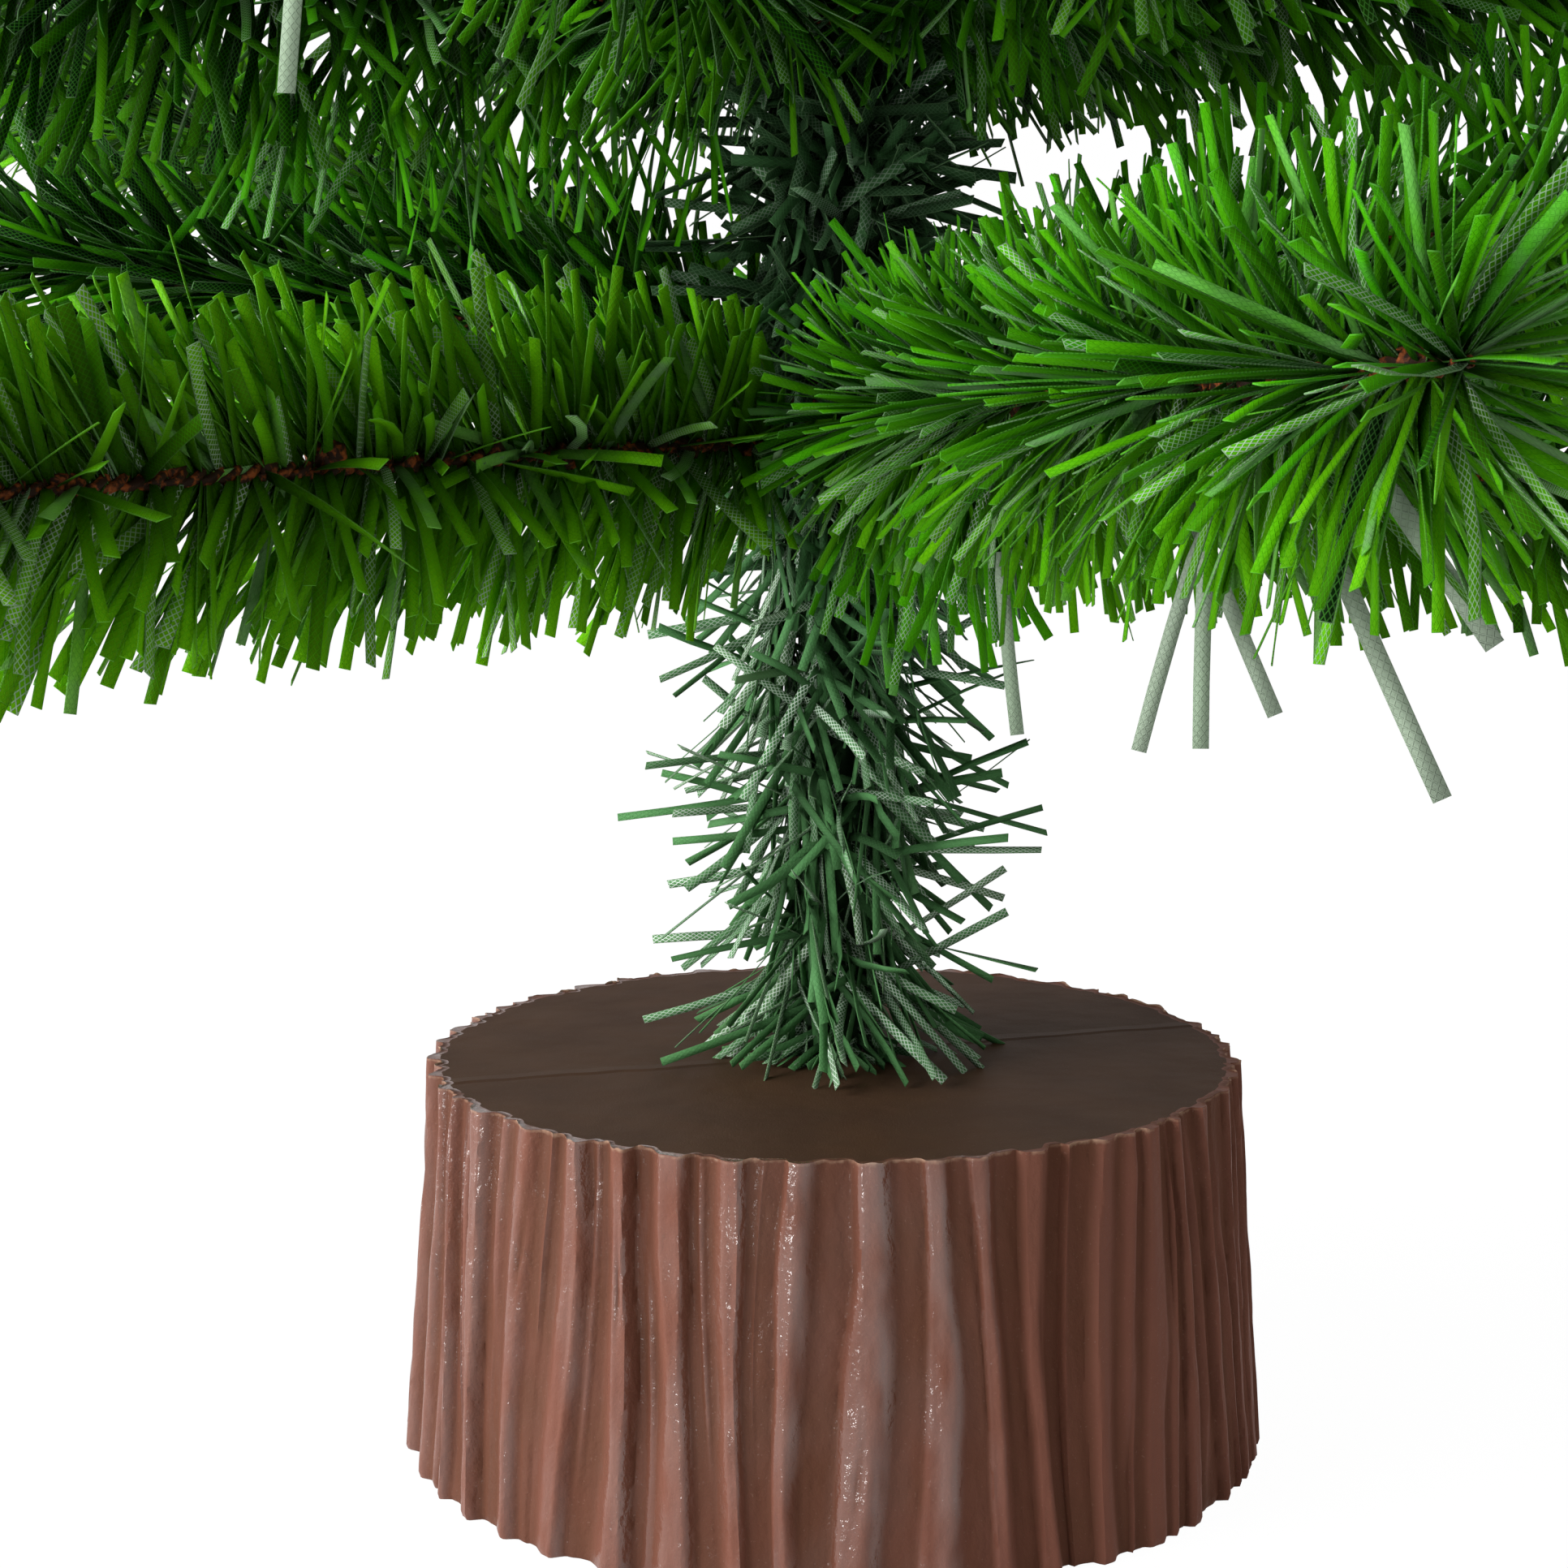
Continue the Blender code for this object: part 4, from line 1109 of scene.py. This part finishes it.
class TREE_OT_branch_wires(bpy.types.Operator):
    """Twist the two wires of every branch"""
    bl_idname = "christmas_tree.branch_wires"
    bl_label = "Branch wires"
    root_overrun = 0.8 * MM
    # Crumpled ends of the brown film: number, places as shares of the branch, and shape
    film_end_count, film_end_points = 12, 6
    film_end_shares, film_end_shift = (0.10, 0.95), 0.02
    film_end_lengths, film_end_radii = (1.8 * MM, 4.0 * MM), (0.9 * MM, 1.5 * MM)
    film_end_shake, film_end_aside = 0.34 * MM, 0.5 * MM

    def execute(self, context):
        wire = context.scene.christmas_tree.wire
        material = wire_finish(wire)
        for branch in BRANCHES:
            reach = np.linspace(-self.root_overrun, branch.length, int(branch.length / WIRE_STEP))
            centre = branch.centre(np.maximum(reach, 0)) + branch.along * np.minimum(reach, 0)[:, None]
            pair = twisted_pair(centre, reach, branch.side, branch.up, wire.twist_pitch, wire.strand_radius)
            lumps, sizes = self.film_ends(branch)
            mesh = tubes(pair + lumps, [wire.strand_radius] * 2 + sizes, 6)
            hang(f"twisted_wire_{branch.name}", mesh, [material], branch.name,
                 f"{branch.name}_wire")
        return {"FINISHED"}

    def film_ends(self, branch):
        """Crumpled ends of the brown film that show between the needles: paths and radii."""
        rng = np.random.default_rng(branch.seed + 51)
        count, points = self.film_end_count, self.film_end_points
        shift = rng.uniform(-self.film_end_shift, self.film_end_shift, count)
        paths, radii = [], []
        for place in np.linspace(*self.film_end_shares, count) + shift:
            reach = branch.length * place + np.linspace(0, 1, points) * rng.uniform(*self.film_end_lengths)
            shake = rng.normal(0, self.film_end_shake, (points, 3))
            sideways, upward = rng.normal(0, self.film_end_aside), rng.normal(0, self.film_end_aside)
            paths.append(branch.centre(reach) + shake + branch.side * sideways + branch.up * upward)
            radii.append(rng.uniform(*self.film_end_radii))
        return paths, radii


class TREE_OT_branch_needles(bpy.types.Operator):
    """Set the film needles round every branch"""
    bl_idname = "christmas_tree.branch_needles"
    bl_label = "Branch needles"
    bare_root = 4 * MM
    tuft_pitch, tuft_lean = 8 * MM, 9
    tip_zone, tip_lean = 12 * MM, 28
    short_zone, short_end, short_share = 20 * MM, 5 * MM, 0.30
    # Degrees by which the leans of needles vary: those that stray and the others
    stray_spread, spread = 36, 7
    stray_tone = 0.28
    cut_short_chance, cut_short = 0.07, (0.5, 0.85)
    thread_chance, thread_broadness, thread_length = 0.015, 0.14, 1.15
    forward_bend, length_spread, length_limits = 0.04, 0.07, (0.75, 1.10)
    # Painted light: needles that point down get more warmth, an olive tint standing for light shining through
    # the film from below
    underside_warmth, warmth_spread, breadths = 0.45, 0.12, (0.86, 1.10)
    droop_length, droop_reach, droop_drop = 18 * MM, (6 * MM, 62 * MM), (3 * MM, 12 * MM)

    def execute(self, context):
        film = context.scene.christmas_tree.film
        material = branch_film(film)
        for branch in BRANCHES:
            habit = {**HABIT, **HABITS.get(branch.name, {})}
            strips = Strips(film)
            self.round_wire(strips, branch, habit, film)
            self.loose(strips, branch)
            self.drooping(strips, branch, habit["droop"])
            hang(f"film_needles_{branch.name}", strips.mesh(), [material], branch.name,
                 f"{branch.name}_needles")
        return {"FINISHED"}

    def round_wire(self, strips, branch, habit, film):
        """Needles held all round the twisted wire, in faint tufts, which turn forward at the tip."""
        rng = np.random.default_rng(branch.seed)
        count = int((branch.length - self.bare_root) * film.needles_per_metre * habit["dense"])
        reach = spaced(rng, count, self.bare_root, branch.length)
        turn = golden_turns(rng, count, TURN_SHAKE)
        turn = turn + habit["comb"] * np.sin(2 * turn)
        radials = unit(branch.side * np.cos(turn)[:, None] * habit["flat"]
                       + branch.up * np.sin(turn)[:, None])
        near_tip = np.clip((reach - branch.length + self.tip_zone) / self.tip_zone, 0, 1)
        stray = rng.random(count) < habit["stray"]
        lean_spread = np.where(stray, self.stray_spread, self.spread)
        tufts = np.sin(reach / self.tuft_pitch * math.tau + turn + rng.uniform(0, math.tau))
        leans = habit["lean"] - self.tip_lean * near_tip + self.tuft_lean * tufts
        heads, acrosses, bends, twists = needle_set(rng, count, leans, lean_spread, branch.along, radials)
        bends = bends + branch.along * self.forward_bend

        lengths = film.needle_length * np.clip(rng.normal(1, self.length_spread, count), *self.length_limits)
        lengths *= np.interp(reach, (0, branch.length), (habit["length"], habit["tip_length"]))
        lengths *= np.where(rng.random(count) < self.cut_short_chance, rng.uniform(*self.cut_short, count), 1)
        near_root = np.clip((self.short_zone - reach) / (self.short_zone - self.short_end), 0, 1)
        lengths *= 1 - self.short_share * near_root
        # Painted light: the more a needle points down, the warmer its film, as light through it
        below = np.clip(-heads[:, 2], 0, 1)
        warmth = habit["warmth"] + self.underside_warmth * below + rng.normal(0, self.warmth_spread, count)
        thread = rng.random(count) < self.thread_chance
        lengths = np.where(thread, lengths * self.thread_length, lengths)
        breadth = rng.uniform(*self.breadths, count) * habit["broad"]
        broadness = np.where(thread, self.thread_broadness, breadth)
        tones = tones_of(rng, count, habit["tone"], habit["spread"]) + self.stray_tone * stray
        strips.add(branch.centre(reach), heads, acrosses, lengths, bends, twists,
                   np.minimum(tones, COMMON_TONE_LIMIT), np.clip(warmth, 0, 1), broadness)

    def drooping(self, strips, branch, count):
        """Needles that hang down below the branch near the trunk."""
        if not count:
            return
        rng = np.random.default_rng(branch.seed + 77)
        reach = rng.uniform(*self.droop_reach, count)
        drop = rng.uniform(*self.droop_drop, count)[:, None]
        heads = unit(DOWN + branch.side * rng.normal(0, 0.35, count)[:, None]
                     + branch.along * rng.normal(0.10, 0.30, count)[:, None])
        acrosses = unit(np.cross(heads, branch.along) + rng.normal(0, 0.5, (count, 3)))
        lengths = self.droop_length * rng.uniform(0.75, 1.08, count)
        bends = rng.normal(0, 0.06, (count, 3))
        twists = rng.normal(0, 0.4, count)
        strips.add(branch.centre(reach) + DOWN * drop, heads, acrosses, lengths, bends, twists,
                   tones=rng.uniform(0.35, 0.93, count), warmth=0.25, broadness=0.85)

    def loose(self, strips, branch):
        """Long pale needles that hang loose from the front branches."""
        rows = [row[1:] for row in LOOSE_NEEDLES if row[0] == branch.name]
        if not rows:
            return
        reach, drop, length, head, tone, broadness = (np.array(column, float) for column in zip(*rows))
        heads = unit(head)
        acrosses = unit(np.cross(heads, np.array((0.0, 1.0, 0.0))))
        roots = branch.centre(branch.length - reach * MM) + DOWN * drop[:, None] * MM
        bends = np.zeros((len(rows), 3)) + np.array((0.03, 0, -0.02))
        strips.add(roots, heads, acrosses, length * MM, bends, np.full(len(rows), 0.15), tone, 0.0, broadness)


class TREE_OT_trunk_needles(bpy.types.Operator):
    """Press the film needles down along the trunk and round the branch roots"""
    bl_idname = "christmas_tree.trunk_needles"
    bl_label = "Trunk needles"
    floor_gap = 0.35 * MM
    sleeve_radius, sleeve_crumple, sleeve_inside = 3.62 * MM, 0.16 * MM, 3.36 * MM
    sleeve_step, sleeve_columns = 0.8 * MM, 36
    # The sleeve's place in the film map, across and along a strip, in millimetres, and its tone
    sleeve_map_mm, sleeve_tone = 0.2, 0.13
    between_density, between_leans, between_radius = 2.2, (15, 155), 4.1 * MM
    between_from, between_past, between_lengths, between_spread = 6 * MM, 2 * MM, (0.6, 1.08), 1.0
    # Hanging needles: their heights from the floor and past the bare trunk, and the chance of standing out
    # low down and higher up
    hanging_from, hanging_past = 8.0 * MM, 7.0 * MM
    low_share, low_chance, high_chance = 0.25, 0.24, 0.36
    standing_leans, lying_spread = (28, 132), 34
    lying_swings, standing_spread = (0.9, 2.0), 0.55
    hanging_length, hanging_length_spread, hanging_length_limits = 1.06, 0.12, (0.7, 1.25)
    standing_radius, lying_radii = 3.9 * MM, (3.9 * MM, 8.0 * MM)
    # The lying needles keep closer to the trunk on this share of its height, near the foot
    slim_share, slimness = 0.30, 0.70
    frill_count, frill_spread = 54, 0.8
    frill_heights, frill_lengths = (0.3 * MM, 4.0 * MM), (4.5 * MM, 9.5 * MM)
    frill_radii = (3.2 * MM, 5.4 * MM)
    # The clear strip: its root from the trunk's foot, the way it goes and how it bends back
    clear_root, clear_head = (-6.3 * MM, -3.6 * MM, 6.0 * MM), (-11.8 * MM, -0.4 * MM, -6.6 * MM)
    clear_bend, clear_across, clear_twist = (10.1 * MM, 0.2 * MM, 1.4 * MM), (0.35, -0.90, 0.25), 0.3
    # Pressed needles: shake of the turn, rolls, kinks with their chances, bends, threads and breadths
    turn_shake, rolls = 0.9, (0.72, 22, 75)
    kinks, kink_chances = (1.0, 3.0, 6.0), (0.68, 0.20, 0.12)
    bend_spread, bend_limit, bend_shares = 0.09, 0.5, np.array((1, 1, 0.35))
    bend_shortening, twist_spread = 0.7, 0.55
    thread_chance, thread_broadness, thread_lengthening = 0.02, 0.12, 0.2
    breadths = (0.88, 1.12)

    def execute(self, context):
        film = context.scene.christmas_tree.film
        material = trunk_film(film)
        bare_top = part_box("tier_1_winding")[0].z
        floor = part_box("base_shell")[1].z + self.floor_gap
        self.sleeve(material, floor)
        rng = np.random.default_rng(21)
        strips = Strips(film)
        self.hanging(strips, rng, film, floor, bare_top)
        self.frill(strips, rng, floor)
        self.clear_strip(strips, floor)
        hang("film_needles_trunk", strips.mesh(), [material], "trunk", "trunk_garland")

        strips = Strips(film)
        self.between_tiers(strips, rng, film, bare_top)
        hang("film_needles_between_tiers", strips.mesh(), [material], "trunk",
             "trunk_garland")
        return {"FINISHED"}

    def sleeve(self, material, floor):
        """Crumpled film wound over the rod, which carries the trunk's needles."""
        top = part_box("trunk_garland")[1].z
        columns, rows = self.sleeve_columns, int((top - floor) / self.sleeve_step)
        turn = np.arange(columns) / columns
        walls = []
        for row in range(rows + 1):
            up = row / rows
            crumple = soft_noise(turn + 0.04 * row, np.full(columns, up), 9, 90, np.random.default_rng(18))
            walls.append((self.sleeve_radius + self.sleeve_crumple * crumple, floor + (top - floor) * up))
        walls += [(self.sleeve_inside, top), (self.sleeve_inside, floor)]
        points = np.concatenate([round_points(radius, turn * math.tau, height) for radius, height in walls])
        quads = ring_quads(len(walls), columns, closed=True)
        tone = np.full(len(points), self.sleeve_tone)
        # A reach of 0 gives the sleeve the darkest painted root shade of the strips
        mesh = mesh_from(points, quads, {"tone": tone, "warmth": tone * 0, "reach": tone * 0},
                         np.full((*quads.shape, 2), self.sleeve_map_mm))
        hang("trunk_film_sleeve", mesh, [material], "trunk", "trunk_garland")

    def hanging(self, strips, rng, film, floor, bare_top):
        """Needles of the bare trunk: some lie along it, crossing each other, and some stand out."""
        count = film.trunk_needles
        up = spaced(rng, count, 0, 1)
        first, last = floor + self.hanging_from, bare_top + self.hanging_past
        heights = first + (last - first) * up
        stands_out = rng.random(count) < np.where(up < self.low_share, self.low_chance, self.high_chance)
        leans = np.where(stands_out, rng.uniform(*self.standing_leans, count),
                         np.abs(rng.normal(0, self.lying_spread, count)))
        aside = rng.uniform(*self.lying_swings, count) * np.where(rng.random(count) < 0.5, 1, -1)
        swings = np.where(stands_out, rng.normal(0, self.standing_spread, count), aside)
        shares = rng.normal(self.hanging_length, self.hanging_length_spread, count)
        lengths = film.needle_length * np.clip(shares, *self.hanging_length_limits)
        room = np.clip((heights - floor) / lengths, -1, 0.999)
        leans = np.maximum(leans, np.degrees(np.arccos(room)))
        lying = rng.uniform(*self.lying_radii, count) * np.where(up > self.slim_share, 1.0, self.slimness)
        radii = np.where(stands_out, self.standing_radius, lying)
        self.press(strips, rng, heights, leans, swings, lengths, radii, middle=0.57, broad=0.86)

    def frill(self, strips, rng, floor):
        """Short needles splayed on the stump's top round the foot of the trunk."""
        count = self.frill_count
        heights = floor + rng.uniform(*self.frill_heights, count)
        lengths = rng.uniform(*self.frill_lengths, count)
        leans = np.degrees(np.arccos(np.clip((heights - floor) / lengths, 0, 1)))
        swings = rng.normal(0, self.frill_spread, count)
        radii = rng.uniform(*self.frill_radii, count)
        self.press(strips, rng, heights, leans, swings, lengths, radii, middle=0.46, broad=0.86)

    def between_tiers(self, strips, rng, film, bare_top):
        """Needles that lie in all directions over the trunk, from the first tier up."""
        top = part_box("trunk_pole")[1].z
        count = int((top - bare_top) * film.needles_per_metre * self.between_density)
        heights = spaced(rng, count, bare_top + self.between_from, top + self.between_past)
        leans = rng.uniform(*self.between_leans, count)
        lengths = film.needle_length * rng.uniform(*self.between_lengths, count)
        swings = rng.normal(0, self.between_spread, count)
        # Painted shade: a very low tone makes these needles near black, as the shade under the tiers
        self.press(strips, rng, heights, leans, swings, lengths, self.between_radius, middle=0.07)

    def clear_strip(self, strips, floor):
        """One narrow strip without colour that curls back to the stump left of the foot."""
        root = np.array((self.clear_root,)) + UP * floor
        head, bend = np.array((self.clear_head,)), np.array((self.clear_bend,))
        length = np.linalg.norm(head)
        strips.add(root, head / length, np.array((self.clear_across,)), np.array((length,)), bend / length,
                   np.array((self.clear_twist,)), np.array((1.0,)), warmth=0.0, broadness=0.5)

    def press(self, strips, rng, heights, leans, swings, lengths, radius, middle, broad=1.0):
        """Adds needles that hang from the trunk. A needle leans from straight down, outward or, as it
        swings, along the trunk's round."""
        count = len(heights)
        radials = round_points(1.0, golden_turns(rng, count, self.turn_shake), 0.0)
        lean, swing = np.radians(leans)[:, None], swings[:, None]
        tangent = np.cross(radials, DOWN)
        outward = radials * np.cos(swing) + tangent * np.sin(swing)
        heads = DOWN * np.cos(lean) + outward * np.sin(lean)
        acrosses = rolled(rng, heads, unit(np.cross(heads, radials) + tangent * 1e-3), *self.rolls)
        kinks = rng.choice(self.kinks, count, p=self.kink_chances)[:, None]
        bends = rng.normal(0, self.bend_spread, (count, 3)) * kinks * self.bend_shares
        bends = np.clip(bends, -self.bend_limit, self.bend_limit)
        lengths = lengths / (1 + self.bend_shortening * np.linalg.norm(bends, axis=1))
        twists = rng.normal(0, self.twist_spread, count)
        roots = radials * np.broadcast_to(radius, (count,))[:, None] + UP * heights[:, None]
        thread = rng.random(count) < self.thread_chance
        breadths = np.where(thread, self.thread_broadness, rng.uniform(*self.breadths, count) * broad)
        strips.add(roots, heads, acrosses, lengths * (1 + self.thread_lengthening * thread), bends, twists,
                   tones_of(rng, count, middle), 0.0, breadths)


class TREE_OT_leader(bpy.types.Operator):
    """Dress the leader at the top of the tree"""
    bl_idname = "christmas_tree.leader"
    bl_label = "Leader"
    strand_share = 0.9
    tip_zone = 14 * MM
    lean, tip_lean, lean_spread = 58, 18, 8
    mean_length, length_spread, length_limits = 0.95, 0.07, (0.7, 1.05)

    def execute(self, context):
        settings = context.scene.christmas_tree
        film, wire = settings.film, settings.wire
        low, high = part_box("leader_stem")
        heights = np.linspace(low.z, high.z, int((high.z - low.z) / WIRE_STEP))
        strand = wire.strand_radius * self.strand_share
        right, back = np.array((1.0, 0.0, 0.0)), np.array((0.0, 1.0, 0.0))
        pair = twisted_pair(UP * heights[:, None], heights, right, back, wire.twist_pitch, strand)
        hang("twisted_wire_leader", tubes(pair, [strand] * 2, 6), [wire_finish(wire)], "trunk",
             "leader_stem")

        rng = np.random.default_rng(31)
        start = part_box("leader_needles")[0].z
        count = int((high.z - start) * film.needles_per_metre)
        heights = spaced(rng, count, start, high.z)
        radials = round_points(1.0, golden_turns(rng, count, TURN_SHAKE), 0.0)
        near_tip = np.clip((heights - high.z + self.tip_zone) / self.tip_zone, 0, 1)
        leans = self.lean - self.tip_lean * near_tip
        heads, acrosses, bends, twists = needle_set(rng, count, leans, self.lean_spread, UP, radials)
        shares = rng.normal(self.mean_length, self.length_spread, count)
        lengths = film.needle_length * np.clip(shares, *self.length_limits)
        strips = Strips(film)
        strips.add(UP * heights[:, None], heads, acrosses, lengths, bends, twists, tones_of(rng, count),
                   warmth=0.3)
        hang("film_needles_leader", strips.mesh(), [branch_film(film)], "trunk",
             "leader_needles")
        return {"FINISHED"}


class TREE_OT_stage(bpy.types.Operator):
    """Set the floor, the soft studio light and the camera"""
    bl_idname = "christmas_tree.stage"
    bl_label = "Stage"
    floor_rings, floor_sides = (0.0001, 0.2, 0.6, 1.5, 4.0), 64
    floor_glow, floor_glow_share = 1.06, 0.92
    sensor_mm, clip_near, clip_far = 36, 0.01, 50

    def execute(self, context):
        stage = context.scene.christmas_tree.stage
        self.floor()
        self.room(context.scene, stage)
        for name, place, size, power in LAMPS:
            self.soft_light(name, place, size, getattr(stage, power))
        camera_data = bpy.data.cameras.new("camera")
        camera_data.lens = stage.lens
        camera_data.sensor_width = self.sensor_mm
        camera_data.clip_start = self.clip_near
        camera_data.clip_end = self.clip_far
        camera = bpy.data.objects.new("camera", camera_data)
        context.scene.collection.objects.link(camera)
        camera.location = stage.camera_place
        camera.rotation_euler = (math.pi / 2 - stage.camera_pitch, 0, stage.camera_turn)
        context.scene.camera = camera
        context.scene.view_settings.view_transform = "Standard"
        return {"FINISHED"}

    def floor(self):
        """White floor that still takes the object's shadow."""
        angle = np.arange(self.floor_sides) * math.tau / self.floor_sides
        points = np.concatenate([round_points(radius, angle, 0.0) for radius in self.floor_rings])
        quads = ring_quads(len(self.floor_rings), self.floor_sides)[:, ::-1]
        mesh = mesh_from(points, quads)
        f = Finish("floor_white")
        share = f.looked_at() * self.floor_glow_share
        colour = f.mix(f.noise(f.place(), 40.0, 2.0), *FLOOR_WHITES)
        lit = f.node("ShaderNodeBsdfDiffuse", None, {"Color": colour})
        glow = f.node("ShaderNodeEmission", None, {"Color": (1, 1, 1, 1), "Strength": self.floor_glow})
        mesh.materials.append(f.close(f.node("ShaderNodeMixShader", None, {0: share, 1: lit, 2: glow})))
        floor = bpy.data.objects.new("floor", mesh)
        bpy.context.scene.collection.objects.link(floor)

    def room(self, scene, stage):
        """Even light all round, and white where the camera or a gloss sees it."""
        scene.world = bpy.data.worlds.new("room")
        f = Finish("room", scene.world)
        strength = f.looked_at() * (1 - stage.sky_strength) + stage.sky_strength
        light = f.node("ShaderNodeBackground", None, {"Color": (1, 1, 1, 1), "Strength": strength})
        f.close(light, "ShaderNodeOutputWorld")

    def soft_light(self, name, place, size, power):
        """A square soft light turned to the tree."""
        data = bpy.data.lights.new(name, "AREA")
        data.size = size
        data.energy = power
        lamp = bpy.data.objects.new(name, data)
        bpy.context.scene.collection.objects.link(lamp)
        lamp.location = place
        aim = Vector(LAMP_AIM) - Vector(place)
        lamp.rotation_euler = aim.to_track_quat("-Z", "Y").to_euler()


class TREE_PT_panel(bpy.types.Panel):
    """Lists the tree's pieces"""
    bl_idname = "TREE_PT_panel"
    bl_label = "Christmas Tree"
    bl_space_type = "VIEW_3D"
    bl_region_type = "UI"
    bl_category = "Christmas Tree"

    def draw(self, context):
        settings = context.scene.christmas_tree
        for group in (settings.stump, settings.film, settings.wire, settings.stage):
            box = self.layout.box()
            for name in group.__annotations__:
                box.prop(group, name)
        for operator in PIECES:
            self.layout.operator(operator.bl_idname)


SETTINGS = (StumpSettings, FilmSettings, WireSettings, StageSettings, TreeSettings)
PIECES = (TREE_OT_stump, TREE_OT_rod_and_weight, TREE_OT_windings, TREE_OT_branch_wires,
          TREE_OT_branch_needles, TREE_OT_trunk_needles, TREE_OT_leader, TREE_OT_stage)


def register():
    for kind in (*SETTINGS, *PIECES, TREE_PT_panel):
        bpy.utils.register_class(kind)
    bpy.types.Scene.christmas_tree = bpy.props.PointerProperty(type=TreeSettings)


def unregister():
    del bpy.types.Scene.christmas_tree
    for kind in reversed((*SETTINGS, *PIECES, TREE_PT_panel)):
        bpy.utils.unregister_class(kind)


def main():
    register()
    bpy.ops.christmas_tree.stump()
    bpy.ops.christmas_tree.rod_and_weight()
    bpy.ops.christmas_tree.windings()
    bpy.ops.christmas_tree.branch_wires()
    bpy.ops.christmas_tree.branch_needles()
    bpy.ops.christmas_tree.trunk_needles()
    bpy.ops.christmas_tree.leader()
    bpy.ops.christmas_tree.stage()


if __name__ == "__main__":
    main()
